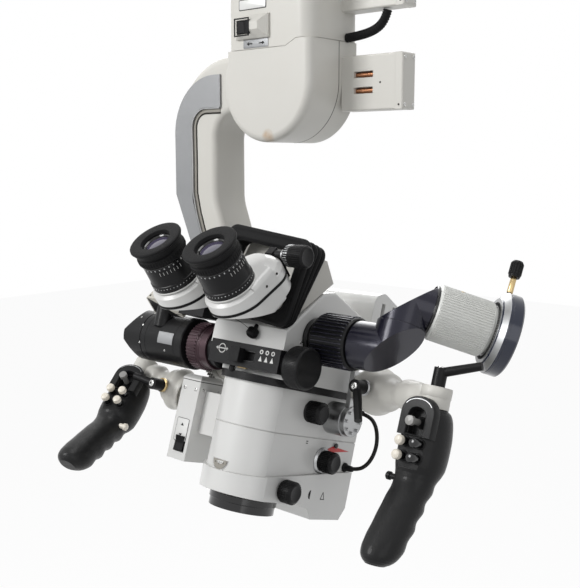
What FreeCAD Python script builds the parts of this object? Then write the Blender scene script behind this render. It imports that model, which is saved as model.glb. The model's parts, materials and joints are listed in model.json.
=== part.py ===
import FreeCAD, Part
import math
import os
import Sketcher
from FreeCAD import Placement, Rotation, Vector

# Surgical microscope head on its balancing arm, hung from a stand.
# +X is the surgeon's right, -Y the surgeon's side, +Z up. The origin is the middle of the
# face of the top casting that bolts to the stand. Millimetres and degrees.

os.makedirs("parts", exist_ok=True)
doc = FreeCAD.newDocument("surgical_microscope")

SIZES = {
    # running clearances
    "gap": 0.3,
    "fit": 0.05,
    # housing at the top
    "mount_radius": 60,
    "mount_thick": 12,
    "mount_bore": 20,
    "mount_hole": 4.5,
    "mount_circle": 48,
    "hub_drop": 154,
    "lobe_radius": 54,
    "front_depth": 42,
    "rear_depth": 26,
    "lobe_rim": 7,
    "seam_rise": 31,
    "seam_step": 6,
    "top_left": 50,
    "top_depth": 75,
    "top_corner": 14,
    "pod_wide": 40,
    "pod_high": 21,
    "pod_proud": 9,
    "rocker_left": 27,
    "rocker_wide": 15,
    "rocker_high": 12,
    "side_box_reach": 67,
    "side_box_high": 49,
    "side_box_thick": 20,
    "side_box_drop": 26,
    "upper_box_rise": 62,
    "slot_wide": 21,
    "slot_high": 5.6,
    "guide_radius": 2,
    "shaft_radius": 15,
    "conduit_radius": 4.2,
    # swinging arm
    "arm_front": 9,
    "arm_thick": 47,
    "arm_out": 149,
    "arm_wide": 58,
    "neck_up": 31,
    "neck_down": 24,
    "arm_bend": 112,
    "arm_outer_curve": 78,
    "arm_inner_curve": 26,
    "arm_edge": 7,
    "hub_disc": 41,
    "swing_room": 22,
    "inlay_thick": 2,
    "inlay_wide": 25,
    # head placing
    "head_drop": 552,
    "head_forward": 69,
    "head_tilt": 18,
    "tilt_back": 42,
    "tilt_rise": 138,
    "tilt_hub_radius": 23.5,
    "tilt_hub_left": 94,
    "tilt_hub_right": 66,
    "axle_radius": 10.5,
    "wheel_radius": 30,
    "wheel_thick": 9,
    "tooth_depth": 2,
    # optics carrier
    "ring_radius": 32.5,
    "ring_high": 16,
    "ring_bore": 27,
    "lens_thick": 6,
    "base_radius": 44,
    "base_side": 40,
    "base_floor": 16,
    "chin_start": 57,
    "body_radius": 41,
    "body_side": 37,
    "body_back": 112,
    "body_top": 120,
    "seam_front": 35,
    "seam_slope": 14,
    "split_line": 78,
    "groove": 0.8,
    "knob_radius": 10,
    "knob_long": 14,
    "drive_wide": 26,
    "drive_deep": 36,
    "drive_front": 10,
    "drive_floor": 27,
    "drive_top": 108,
    "drive_right": 78,
    "dovetail_thick": 7,
    "dovetail_margin": 4,
    "bracket_top": 150,
    "bracket_side": 46,
    "bracket_front": 30,
    "bar_left": 35,
    "bar_right": 52,
    "bar_deep": 20,
    "bar_floor": 131,
    "bar_high": 22,
    "cap_radius": 19,
    "cap_long": 20,
    "slider_wide": 9,
    # left camera
    "camera_axis": 144.5,
    "camera_forward": 18,
    "camera_radius": 26,
    "camera_start": 84,
    "camera_end": 172,
    "focus_radius": 23,
    "core_radius": 14,
    "box_wide": 44,
    "box_high": 40,
    "box_deep": 22,
    # right port
    "port_axis": 172,
    "port_ring_radius": 24,
    "port_ring_start": 57,
    "port_ring_end": 98,
    "spigot_radius": 13,
    "port_seat": 14,
    "prism_radius": 22,
    "prism_lean": 10,
    "prism_swivel": 43,
    "tube_radius": 24.5,
    "tube_long": 53,
    "end_ring_radius": 37.5,
    "end_ring_long": 18,
    "screw_radius": 2.5,
    # binocular
    "eye_spacing": 68,
    "eye_pitch": 38,
    "eye_forward": 147,
    "eye_rise": 225,
    "barrel_radius": 22,
    "eyecup_radius": 24.5,
    "eyepiece_long": 45,
    "rhomb_thick": 38,
    "rhomb_belt": 15,
    "rhomb_reach": 28,
    "rhomb_radius": 26,
    "yoke_thick": 7,
    "yoke_axis": 17,
    "yoke_pin": 4,
    "knuckle_radius": 5,
    "knuckle_rise": 13,
    "tongue_half": 9,
    "bellows_wide": 110,
    "bellows_high": 84.5,
    "bellows_lean": 2,
    "bellows_fan": 12,
    "bellows_roll": 6.5,
    "bellows_lip": 6,
    "bellows_wall": 9,
    "rib_thick": 4,
    # handles
    "arm_root_radius": 23,
    "arm_neck_radius": 11,
    "eye_drop": 16,
    "eye_drop_right": 8,
    "eye_rise_top": 10,
    "grip_top": 20,
    "grip_half_wide": 19,
    "grip_length": 130,
    "grip_bend": 38,
    "panel_front": 20.5,
    "panel_long": 52,
    "joystick_radius": 2.6,
    "joystick_drop": 14,
    "joystick_set": 13,
    "recess_wide": 14,
    "recess_high": 21,
    "button_radius": 3.8,
    "button_high": 7,
    "button_drop": 31,
    "button_step": 12,
    "button_side": 7,
    "lever_radius": 6,
    "lever_long": 34,
    "cable_radius": 1.8,
    "lead_radius": 2,
}

sheet = doc.addObject("Spreadsheet::Sheet", "Sizes")
for row, (name, amount) in enumerate(SIZES.items(), 1):
    sheet.set("A%d" % row, name)
    sheet.set("B%d" % row, str(amount))
    sheet.setAlias("B%d" % row, name)
doc.recompute()


class Size:
    """A number from the sheet together with the formula that gives it."""

    def __init__(self, value, text):
        self.value = float(value)
        self.text = text

    def join(self, other, sign, result):
        return Size(result, "(%s %s %s)" % (self.text, sign, size_of(other).text))

    def __add__(self, other):
        return self.join(other, "+", self.value + float(other))

    def __sub__(self, other):
        return self.join(other, "-", self.value - float(other))

    def __mul__(self, other):
        return self.join(other, "*", self.value * float(other))

    def __truediv__(self, other):
        return self.join(other, "/", self.value / float(other))

    def __radd__(self, other):
        return size_of(other) + self

    def __rsub__(self, other):
        return size_of(other) - self

    def __rmul__(self, other):
        return size_of(other) * self

    def __neg__(self):
        return Size(-self.value, "(0 - %s)" % self.text)

    def __float__(self):
        return self.value


def size_of(number):
    return number if isinstance(number, Size) else Size(number, repr(float(number)))


class Cells:
    """Gives each size of the sheet by its name."""

    def __getattr__(self, name):
        return Size(sheet.get(name), "Sizes." + name)


S = Cells()
S_RIBS = 6
UPRIGHT = Rotation(Vector(1, 0, 0), 90)
UPRIGHT_BACK = Rotation(Vector(1, 0, 0), -90)
ALONG_X = Rotation(Vector(0, 1, 0), 90)
ALONG_LEFT = Rotation(Vector(0, 1, 0), -90)
ACROSS = Rotation(Vector(1, 1, 1), 120)
FLAT = Rotation()
nodes = {}


def at(x=0, y=0, z=0, turn=FLAT):
    return Placement(Vector(float(x), float(y), float(z)), turn)


def bind(item, **amounts):
    for prop, amount in amounts.items():
        item.setExpression(prop, size_of(amount).text)


def plane_of(body, role):
    return [item for item in body.Origin.OriginFeatures if item.Role == role][0]


def sketch_on(body, role="XY_Plane"):
    sketch = body.newObject("Sketcher::SketchObject", "Sketch")
    sketch.AttachmentSupport = [(plane_of(body, role), "")]
    sketch.MapMode = "FlatFace"
    return sketch


def pin_point(sketch, line, end, point):
    for kind, amount in zip(("DistanceX", "DistanceY"), point):
        amount = size_of(amount)
        index = sketch.addConstraint(Sketcher.Constraint(kind, -1, 1, line, end, amount.value))
        sketch.setExpression("Constraints[%d]" % index, amount.text)


def outline(body, points, role="XY_Plane"):
    """A closed outline of straight lines whose corners are bound to the sheet."""
    sketch = sketch_on(body, role)
    corners = [Vector(float(x), float(y), 0) for x, y in points]
    count = len(corners)
    for index in range(count):
        sketch.addGeometry(Part.LineSegment(corners[index], corners[(index + 1) % count]), False)
    for index in range(count):
        sketch.addConstraint(Sketcher.Constraint("Coincident", index, 2, (index + 1) % count, 1))
    for index in range(count):
        pin_point(sketch, index, 1, points[index])
    return sketch


def round_outline(body, centre, radius):
    sketch = sketch_on(body)
    sketch.addGeometry(Part.Circle(Vector(float(centre[0]), float(centre[1]), 0), Vector(0, 0, 1),
                                   float(radius)), False)
    index = sketch.addConstraint(Sketcher.Constraint("Radius", 0, float(radius)))
    sketch.setExpression("Constraints[%d]" % index, size_of(radius).text)
    pin_point(sketch, 0, 3, centre)
    return sketch


def new_body(name):
    body = doc.addObject("PartDesign::Body", name)
    body.Label = name
    return body


def pad(body, sketch, length):
    feature = body.newObject("PartDesign::Pad", "Pad")
    feature.Profile = sketch
    bind(feature, Length=length)
    doc.recompute()
    return feature


def pocket(body, sketch, length):
    """A cut that runs up from the sketch plane into the solid."""
    feature = body.newObject("PartDesign::Pocket", "Pocket")
    feature.Profile = sketch
    feature.Reversed = True
    bind(feature, Length=length)
    doc.recompute()
    return feature


def soften(body, radius, pick, kind="Fillet"):
    """Round or bevel the edges of the body's last feature that the test picks."""
    doc.recompute()
    base = body.Tip
    names = ["Edge%d" % number for number, edge in enumerate(base.Shape.Edges, 1) if pick(edge)]
    feature = body.newObject("PartDesign::" + kind, kind)
    feature.Base = (base, names)
    bind(feature, **{"Radius" if kind == "Fillet" else "Size": radius})
    doc.recompute()
    return feature


def plate(name, points, thick, place=at()):
    body = new_body(name)
    pad(body, outline(body, points), thick)
    body.Placement = place
    return body


def turned(name, profile, place=at()):
    """A solid of revolution: the profile lists radius and height."""
    body = new_body(name)
    sketch = outline(body, profile, "XZ_Plane")
    feature = body.newObject("PartDesign::Revolution", "Revolution")
    feature.Profile = sketch
    feature.ReferenceAxis = (sketch, ["V_Axis"])
    feature.Angle = 360
    doc.recompute()
    body.Placement = place
    return body


def rod(name, radius, length, place=at()):
    item = doc.addObject("Part::Cylinder", name)
    bind(item, Radius=radius, Height=length)
    item.Placement = place
    return item


def block(name, low, high, place=at()):
    """A box between two opposite corners."""
    item = doc.addObject("Part::Box", name)
    for prop, first, last in zip(("Length", "Width", "Height"), low, high):
        bind(item, **{prop: size_of(last) - first})
    item.Placement = place.multiply(at(*low))
    return item


def joined(name, pieces, place=at()):
    item = doc.addObject("Part::MultiFuse", name)
    item.Shapes = pieces
    item.Refine = True
    item.Placement = place
    doc.recompute()
    return item


def without(name, base, tools, place=at()):
    tool = tools[0]
    if len(tools) > 1:
        tool = joined(name + "_tools", tools)
    item = doc.addObject("Part::Cut", name)
    item.Base = base
    item.Tool = tool
    item.Refine = True
    item.Placement = place
    doc.recompute()
    return item


def shared(name, first, second, place=at()):
    item = doc.addObject("Part::Common", name)
    item.Base = first
    item.Tool = second
    item.Refine = True
    item.Placement = place
    doc.recompute()
    return item


def group(name, pieces, place=at()):
    """Separate solids that make one node."""
    item = doc.addObject("Part::Compound", name)
    item.Links = pieces
    item.Placement = place
    doc.recompute()
    return item


def rounded(name, base, radius, pick, place=at()):
    """Round the edges of a finished solid that the test picks."""
    doc.recompute()
    item = doc.addObject("Part::Fillet", name)
    item.Base = base
    amount = float(radius)
    item.Edges = [(number, amount, amount) for number, edge in enumerate(base.Shape.Edges, 1) if pick(edge)]
    item.Placement = place
    doc.recompute()
    return item


def from_shape(name, shape, place=at()):
    item = doc.addObject("Part::Feature", name)
    item.Shape = shape
    item.Placement = place
    return item


def keep(item, name, place=None):
    """Make an object the node of that name."""
    item.Label = name
    if place is not None:
        item.Placement = place
    nodes[name] = item
    return item


def spans(edge, axis):
    """How far an edge runs along X (0), Y (1) or Z (2)."""
    box = edge.BoundBox
    return (box.XLength, box.YLength, box.ZLength)[axis]


def runs_along(edge, axis):
    """True for a straight edge parallel to that axis."""
    others = [spans(edge, other) for other in range(3) if other != axis]
    return spans(edge, axis) > 0.5 and max(others) < 1e-6


def lies_at(edge, axis, amount):
    """True for an edge that lies wholly at one height along an axis."""
    box = edge.BoundBox
    low = (box.XMin, box.YMin, box.ZMin)[axis]
    high = (box.XMax, box.YMax, box.ZMax)[axis]
    return abs(low - float(amount)) < 1e-4 and abs(high - float(amount)) < 1e-4


def cable(name, points, radius, place=at()):
    """A round cable along straight runs joined by tangent arcs; prints the arcs' radii."""
    points = [Vector(*point) for point in points]
    edges = []
    radii = []
    start = points[0]
    for before, corner, after in zip(points, points[1:], points[2:]):
        into = (corner - before).normalize()
        out = (after - corner).normalize()
        turn = into.getAngle(out)
        reach = 0.45 * min(before.distanceToPoint(corner), corner.distanceToPoint(after))
        bend = reach / math.tan(turn / 2)
        first = corner - into * reach
        last = corner + out * reach
        inward = (out - into).normalize()
        centre = corner + inward * math.hypot(reach, bend)
        edges.append(Part.LineSegment(start, first).toShape())
        edges.append(Part.Arc(first, centre - inward * bend, last).toShape())
        radii.append(round(bend, 1))
        start = last
    edges.append(Part.LineSegment(start, points[-1]).toShape())
    path = Part.Wire(edges)
    circle = Part.Circle(points[0], (points[1] - points[0]), float(radius)).toShape()
    solid = path.makePipeShell([Part.Wire([circle])], True, True)
    print(name, "arc radii", radii, "length", round(path.Length, 1),
          "volume ratio", round(solid.Volume / (path.Length * math.pi * float(radius) ** 2), 3))
    return keep(from_shape(name, solid, place), name)


# Frames that the pieces are placed in.
HUB_Z = -float(S.hub_drop)
HALF_DEPTH = (float(S.front_depth) + float(S.rear_depth)) / 2
SEAM_Y = float(S.front_depth) - HALF_DEPTH
HUB = at(0, 0, HUB_Z)
HEAD = Placement(Vector(0, -float(S.head_forward), -float(S.head_drop)),
                 Rotation(Vector(1, 0, 0), -float(S.head_tilt)))


def in_head(x=0, y=0, z=0, turn=FLAT):
    return HEAD.multiply(at(x, y, z, turn))


# Top casting: bolts to the stand and closes the front lobes from above.
def top_casting():
    top = S.hub_drop - S.mount_thick
    body = new_body("top_block")
    points = [(-S.top_left, S.seam_rise), (26, S.seam_rise), (38, S.seam_rise + S.seam_step),
              (S.lobe_radius, S.seam_rise + S.seam_step), (S.lobe_radius, top), (-S.top_left, top)]
    pad(body, outline(body, points), S.top_depth)
    soften(body, S.top_corner, lambda edge: runs_along(edge, 1) and edge.BoundBox.ZLength < 1e-6
           and edge.BoundBox.YLength > 50)
    body.Placement = at(0, S.top_depth - HALF_DEPTH, 0, UPRIGHT)
    pod = new_body("switch_pod")
    pad(pod, outline(pod, [(0, 0), (S.pod_wide, 0), (S.pod_wide, S.pod_high), (0, S.pod_high)]),
        S.pod_proud + 4)
    soften(pod, S.pod_proud - 2, lambda edge: lies_at(edge, 2, S.pod_proud + 4), "Chamfer")
    pod.Placement = at(-S.pod_wide + 7, -HALF_DEPTH + 4, S.seam_rise + 9, UPRIGHT)
    flange = new_body("stand_flange")
    pad(flange, round_outline(flange, (0, 0), S.mount_radius), S.mount_thick)
    pocket(flange, round_outline(flange, (0, 0), S.mount_bore), S.mount_thick)
    hole = pocket(flange, round_outline(flange, (S.mount_circle, 0), S.mount_hole), S.mount_thick)
    holes = flange.newObject("PartDesign::PolarPattern", "Holes")
    holes.Originals = [hole]
    holes.Axis = (plane_axis(flange, "Z_Axis"), [""])
    holes.Angle = 360
    holes.Occurrences = 6
    flange.Tip = holes
    flange.Placement = at(0, 0, S.hub_drop - S.mount_thick)
    mass = joined("top_mass", [body, pod, flange])
    swing_room = block("swing_room", (-S.top_left - 1, -S.arm_front - 1.5, S.seam_rise - 1),
                       (-4, S.top_depth, S.seam_rise + S.swing_room))
    rocker_room = block("rocker_room", (-S.rocker_left - 1, -HALF_DEPTH - S.pod_proud, S.seam_rise + 13),
                        (-S.rocker_left + S.rocker_wide + 1, -HALF_DEPTH + 4,
                         S.seam_rise + 13.5 + S.rocker_high))
    disc_room = rod("top_disc_room", S.hub_disc + 0.4, S.rear_depth + 0.6,
                    at(0, SEAM_Y - 0.3, 0, UPRIGHT_BACK))
    return keep(without("top_casting", mass, [swing_room, rocker_room, disc_room]), "top_casting", HUB)


def plane_axis(body, role):
    return [item for item in body.Origin.OriginFeatures if item.Role == role][0]


def above_seam(name):
    """What the top casting takes away from the lobes under it."""
    low = S.seam_rise - S.gap
    high = low + S.seam_step
    return plate(name, [(-90, low), (26, low), (38, high), (90, high), (90, 90), (-90, 90)], 120,
                 at(0, 60, 0, UPRIGHT))


# Front cover: the big rounded lobe that carries the swing axle.
def front_cover():
    disc = rod("front_disc", S.lobe_radius, S.front_depth, at(0, -HALF_DEPTH, 0, UPRIGHT_BACK))
    right = plate("front_right", [(0, 0), (S.lobe_radius, 0), (S.lobe_radius, S.seam_rise + 20),
                                  (0, S.seam_rise + 20)],
                  S.front_depth, at(0, SEAM_Y, 0, UPRIGHT))
    left = plate("front_left", [(-S.top_left, 0), (0, 0), (0, S.seam_rise + 9), (-S.top_left,
                                                                                 S.seam_rise + 9)],
                 HALF_DEPTH - S.arm_front - 1.5, at(0, -S.arm_front - 1.5, 0, UPRIGHT))
    mass = without("front_mass", joined("front_whole", [disc, right, left]), [above_seam("front_trim")])
    rim = rounded("front_rim", mass, S.lobe_rim, lambda edge: lies_at(edge, 1, -HALF_DEPTH)
                  and edge.BoundBox.ZMin < float(S.seam_rise) - 1)
    bore = rod("axle_seat", S.shaft_radius, S.front_depth, at(0, -HALF_DEPTH + 14, 0, UPRIGHT_BACK))
    return keep(without("front_cover", rim, [bore]), "front_cover", HUB)


def rear_shell():
    disc = rod("rear_disc", S.lobe_radius, S.rear_depth, at(0, SEAM_Y, 0, UPRIGHT_BACK))
    right = plate("rear_right", [(0, 0), (S.lobe_radius, 0), (S.lobe_radius, S.seam_rise + 20),
                                 (0, S.seam_rise + 20)],
                  S.rear_depth, at(0, SEAM_Y + S.rear_depth, 0, UPRIGHT))
    mass = joined("rear_mass", [disc, right])
    room = rod("disc_room", S.hub_disc + 0.4, S.rear_depth, at(0, SEAM_Y, 0, UPRIGHT_BACK))
    up, down = math.radians(103), math.radians(240)
    far = 80
    door = plate("neck_door", [(0, 0), (far * math.cos(up), far * math.sin(up)), (-far, far), (-far, -far),
                               (far * math.cos(down), far * math.sin(down))],
                 S.rear_depth, at(0, SEAM_Y + S.rear_depth, 0, UPRIGHT))
    return keep(without("rear_shell", mass, [room, door, above_seam("rear_trim")]), "rear_shell", HUB)


def swing_axle():
    return keep(rod("swing_axle", S.shaft_radius, S.front_depth - 14 + S.rear_depth,
                    at(0, -HALF_DEPTH + 14, 0, UPRIGHT_BACK)), "swing_axle",
                HUB.multiply(at(0, -HALF_DEPTH + 14, 0, UPRIGHT_BACK)))


def balance_rocker():
    """A rocker with a shallow valley, on a pin across the pod."""
    half = S.rocker_wide / 2
    body = plate("balance_rocker", [(-half, -5), (half, -5), (half, 2.5), (0, 0.5), (-half, 2.5)],
                 S.rocker_high - 1)
    spot = at(-S.rocker_left + half, -HALF_DEPTH - S.pod_proud + 3.6, S.seam_rise + 13.7)
    flip = Rotation(Vector(0, 0, 1), 180)
    return keep(body, "balance_rocker", HUB.multiply(spot).multiply(at(0, 0, 0, flip)))


def side_boxes():
    """Two boxes that hold the balance slides, with bars behind two slots in the lower one."""
    pieces = []
    front = 12
    for tag, floor in (("lower", -S.side_box_drop), ("upper", S.upper_box_rise)):
        body = new_body(tag + "_box")
        pad(body, outline(body, [(S.lobe_radius, floor), (S.lobe_radius + S.side_box_reach - 8, floor),
                                 (S.lobe_radius + S.side_box_reach - 8, floor + S.side_box_high),
                                 (S.lobe_radius, floor + S.side_box_high)]), S.side_box_thick)
        soften(body, 1.5, lambda edge: spans(edge, 0) > 20)
        body.Placement = at(0, front + S.side_box_thick, 0, UPRIGHT)
        cap = new_body(tag + "_cap")
        pad(cap, outline(cap, [(S.lobe_radius + S.side_box_reach - 8, floor),
                               (S.lobe_radius + S.side_box_reach, floor),
                               (S.lobe_radius + S.side_box_reach, floor + S.side_box_high),
                               (S.lobe_radius + S.side_box_reach - 8, floor + S.side_box_high)]),
            S.side_box_thick)
        soften(cap, 2, lambda edge: lies_at(edge, 0, S.lobe_radius + S.side_box_reach))
        cap.Placement = at(0, front + S.side_box_thick, 0, UPRIGHT)
        if tag == "lower":
            slots = [block("slot_%d" % number, (68, front - 1, floor + rise),
                           (68 + S.slot_wide, front + 8, floor + rise + S.slot_high))
                     for number, rise in enumerate((15, 29))]
            pieces.append(without("slotted_box", body, slots))
            for number, rise in enumerate((15, 29)):
                pieces.append(rod("guide_%d" % number, S.guide_radius, S.slot_wide,
                                  at(68, front + 5, floor + rise + S.slot_high / 2, ALONG_X)))
        else:
            pieces.append(body)
        pieces.append(cap)
    return keep(group("side_boxes", pieces), "side_boxes", HUB)


# Swinging arm: a C-shaped casting from the housing to the head's left side.
def swing_arm():
    tilt = HEAD.multVec(Vector(0, float(S.tilt_back), float(S.tilt_rise)))
    end_z = tilt.z - HUB_Z
    end_y = tilt.y
    inner = S.arm_out - S.arm_wide
    body = new_body("arm_casting")
    points = [(-20, S.neck_up), (-S.arm_out, S.neck_up), (-S.arm_out, -S.arm_bend),
              (-S.tilt_hub_left, -S.arm_bend * 2), (-S.tilt_hub_left, end_z), (-S.tilt_hub_right, end_z),
              (-S.tilt_hub_right, -S.arm_bend * 1.6), (-inner, -S.arm_bend), (-inner, -S.neck_down),
              (-20, -S.neck_down)]
    pad(body, outline(body, points), S.arm_thick)

    def corner(x, y):
        return lambda edge: runs_along(edge, 2) and math.hypot(edge.BoundBox.XMin - float(x),
                                                               edge.BoundBox.YMin - float(y)) < 0.01

    soften(body, S.arm_outer_curve, corner(-S.arm_out, S.neck_up))
    soften(body, S.arm_inner_curve, corner(-inner, -S.neck_down))
    for x, y in ((-S.arm_out, -S.arm_bend), (-S.tilt_hub_left, -S.arm_bend * 2),
                 (-S.tilt_hub_right, -S.arm_bend * 1.6), (-inner, -S.arm_bend)):
        soften(body, 45, corner(x, y))
    soften(body, S.arm_edge, lambda edge: (lies_at(edge, 2, 0) or lies_at(edge, 2, S.arm_thick))
           and edge.BoundBox.YMin > end_z + 1 and edge.BoundBox.XMin < -21
           or (lies_at(edge, 2, 0) or lies_at(edge, 2, S.arm_thick))
           and runs_along(edge, 1) and edge.BoundBox.YMin < end_z + 1)
    body.Placement = at(0, S.arm_thick - S.arm_front, 0, UPRIGHT)
    disc = rod("arm_disc", S.hub_disc, S.rear_depth - 2 * S.gap,
               at(0, SEAM_Y + S.gap, 0, UPRIGHT_BACK))
    hub = rod("arm_hub", S.tilt_hub_radius, S.tilt_hub_left - S.tilt_hub_right,
              at(-S.tilt_hub_left, end_y, end_z, ALONG_X))
    front_room = rod("front_room", S.lobe_radius + 0.5, SEAM_Y + S.gap + S.arm_front + 1,
                     at(0, -S.arm_front - 1, 0, UPRIGHT_BACK))
    back_room = rod("back_room", S.lobe_radius + 0.5, S.arm_thick,
                    at(0, SEAM_Y + S.rear_depth - S.gap, 0, UPRIGHT_BACK))
    trimmed = without("arm_trimmed", body, [front_room, back_room])
    mass = joined("arm_mass", [trimmed, disc, hub])
    bore = rod("swing_bore", S.shaft_radius + S.fit, S.rear_depth + 20, at(0, SEAM_Y - 10, 0, UPRIGHT_BACK))
    seat = rod("tilt_seat", S.axle_radius, 60, at(-S.tilt_hub_left - 10, end_y, end_z, ALONG_X))
    return keep(without("swing_arm", mass, [bore, seat]), "swing_arm", HUB)


def arm_inlay():
    """The bare metal strip let on to the arm's front face."""
    body = new_body("arm_inlay")
    out = S.arm_out - 1
    points = [(-S.lobe_radius - 27, 14), (-out, 14), (-out, -S.arm_bend + 6), (-129, -150), (-113, -186),
              (-100, -180), (-123, -S.arm_bend), (-out + S.inlay_wide, -S.arm_bend + 10),
              (-out + S.inlay_wide, -18), (-S.lobe_radius - 27, -18)]
    pad(body, outline(body, points), S.inlay_thick)

    def corner(x, y):
        return lambda edge: runs_along(edge, 2) and math.hypot(edge.BoundBox.XMin - float(x),
                                                               edge.BoundBox.YMin - float(y)) < 0.01

    soften(body, 58, corner(-out, 14))
    soften(body, 20, corner(-out + S.inlay_wide, -18))
    return keep(body, "arm_inlay", HUB.multiply(at(0, -S.arm_front, 0, UPRIGHT)))


def tilt_wheel():
    """The worm wheel on its axle; the axle is fixed in the arm's lower hub."""
    count = 48
    points = []
    for tooth in range(count):
        for part, radius in ((0, 0), (0.25, 1), (0.5, 1), (0.75, 0)):
            angle = 2 * math.pi * (tooth + part) / count
            far = float(S.wheel_radius) - float(S.tooth_depth) * (1 - radius)
            points.append(Vector(far * math.cos(angle), far * math.sin(angle), 0))
    points.append(points[0])
    wheel = Part.Face(Part.makePolygon(points)).extrude(Vector(0, 0, float(S.wheel_thick)))
    gear = from_shape("gear", wheel, at(-S.tilt_hub_left - S.gap - S.wheel_thick, S.tilt_back, S.tilt_rise,
                                        ALONG_X))
    reach = S.tilt_hub_left + S.gap + S.wheel_thick - S.bracket_side + 20
    axle = rod("tilt_axle", S.axle_radius, reach,
               at(-S.tilt_hub_left - S.gap - S.wheel_thick, S.tilt_back, S.tilt_rise, ALONG_X))
    return keep(joined("tilt_wheel", [gear, axle]), "tilt_wheel", HEAD)


# Optics carrier.
def prism_between(name, plan, side, place=at()):
    return shared(name, plan, side, place)


def carrier_plan(name, radius, half, back, low, high):
    """Rounded front and flat sides, between two heights."""
    nose = rod(name + "_nose", radius, high - low, at(0, 0, low))
    tail = block(name + "_tail", (-half, 0, low), (half, back, high))
    sides = block(name + "_sides", (-half, -radius, low), (half, back, high))
    front = shared(name + "_front", nose, sides)
    return joined(name + "_plan", [front, tail])


def side_profile(name, points, half):
    """A profile in depth and height, as wide as the piece."""
    return plate(name, points, 2 * half, at(-half, 0, 0, ACROSS))


def carrier_base():
    plan = carrier_plan("base", S.base_radius, S.base_side, S.body_back, 0, S.body_top)
    slope = S.seam_front + S.seam_slope
    side = side_profile("base_profile", [(-S.base_radius - 5, S.base_floor), (30, S.base_floor - 2),
                                         (50, 10), (S.chin_start, 0), (S.body_back - 8, 0),
                                         (S.body_back, 12), (S.body_back, slope),
                                         (-S.base_radius - 5, S.seam_front - 0.4)], S.base_side + 10)
    return keep(prism_between("carrier_base", plan, side), "carrier_base", HEAD)


def carrier_body():
    plan = carrier_plan("body", S.body_radius, S.body_side, S.body_back, 0, S.body_top + 5)
    slope = S.seam_front + S.seam_slope
    side = side_profile("body_profile", [(-S.base_radius - 5, S.seam_front - 0.4),
                                         (S.body_back, slope), (S.body_back, S.body_top - 30),
                                         (S.body_back - 10, S.body_top), (-S.base_radius - 5, S.body_top)],
                        S.base_side + 10)
    mass = prism_between("body_mass", plan, side)
    slab = block("groove_slab", (-60, -60, S.split_line), (60, 130, S.split_line + S.groove))
    core = carrier_plan("core", S.body_radius - S.groove, S.body_side - S.groove,
                        S.body_back - S.groove, S.split_line - 1, S.split_line + S.groove + 1)
    groove = without("groove_frame", slab, [core])
    return keep(without("carrier_body", mass, [groove]), "carrier_body", HEAD)


def objective():
    ring = turned("objective_ring", [(S.ring_bore, 0), (S.ring_radius - 1, 0), (S.ring_radius - 1, 7),
                                     (S.ring_radius, 7.6), (S.ring_radius, S.base_floor - 2.7),
                                     (S.ring_bore, S.base_floor - 2.7)])
    keep(ring, "objective_ring", HEAD)
    lens = turned("objective_lens", [(0, 5), (S.ring_bore - 8, 4), (S.ring_bore, 6.5),
                                     (S.ring_bore, 6.5 + S.lens_thick), (0, 6.5 + S.lens_thick)])
    keep(lens, "objective_lens", HEAD)


def knob(name, x, y, z, proud):
    """A knurled knob on a short collar, with its axis across the head."""
    start = float(x)
    body = turned(name, [(0, 0), (S.knob_radius - 3, 0), (S.knob_radius - 3, proud),
                         (S.knob_radius, proud), (S.knob_radius, proud + S.knob_long - 1.5),
                         (S.knob_radius - 1.5, proud + S.knob_long), (0, proud + S.knob_long)])
    return keep(body, name, in_head(start + float(S.gap), y, z, ALONG_X))


def drive_box():
    """The balance drive at the left, with a bracket to the carrier."""
    left = -S.drive_right - S.drive_wide
    mass = plate("drive_mass", [(left, -S.drive_front), (-S.drive_right, -S.drive_front),
                                (-S.drive_right, S.drive_deep - S.drive_front),
                                (left, S.drive_deep - S.drive_front)],
                 S.drive_top - S.drive_floor, at(0, 0, S.drive_floor))
    cap = new_body("drive_cap")
    pad(cap, outline(cap, [(left, -S.drive_front), (-S.drive_right, -S.drive_front),
                           (-S.drive_right, S.drive_deep - S.drive_front),
                           (left, S.drive_deep - S.drive_front)]), 6)
    soften(cap, 4, lambda edge: lies_at(edge, 2, 6), "Chamfer")
    cap.Placement = at(0, 0, S.drive_top)
    bracket = block("drive_bracket", (-S.drive_right, 0, S.drive_floor + 30),
                    (-S.body_side, S.drive_deep - S.drive_front - 4, S.drive_top - 8))
    both = joined("drive_solid", [mass, cap, bracket])
    wheel_room = rod("wheel_room", S.wheel_radius + 1, S.wheel_thick + 2,
                     at(-S.tilt_hub_left - S.gap - S.wheel_thick - 1, S.tilt_back, S.tilt_rise, ALONG_X))
    rocker_room = block("drive_rocker_room", (left + 7, -S.drive_front - 1, S.drive_floor + 8),
                        (left + 7 + S.rocker_wide, -S.drive_front + 7,
                         S.drive_floor + 10 + S.rocker_high + 3))
    keep(without("drive_box", both, [wheel_room, rocker_room]), "drive_box", HEAD)
    half = (S.rocker_high + 3) / 2
    rocker = plate("drive_rocker", [(-2, -half), (5, -half), (5, half), (-2, half), (-0.6, 0)],
                   S.rocker_wide - 3, at())
    keep(rocker, "drive_rocker", in_head(left + 8.5, -S.drive_front, S.drive_floor + 9 + half, ACROSS))


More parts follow.
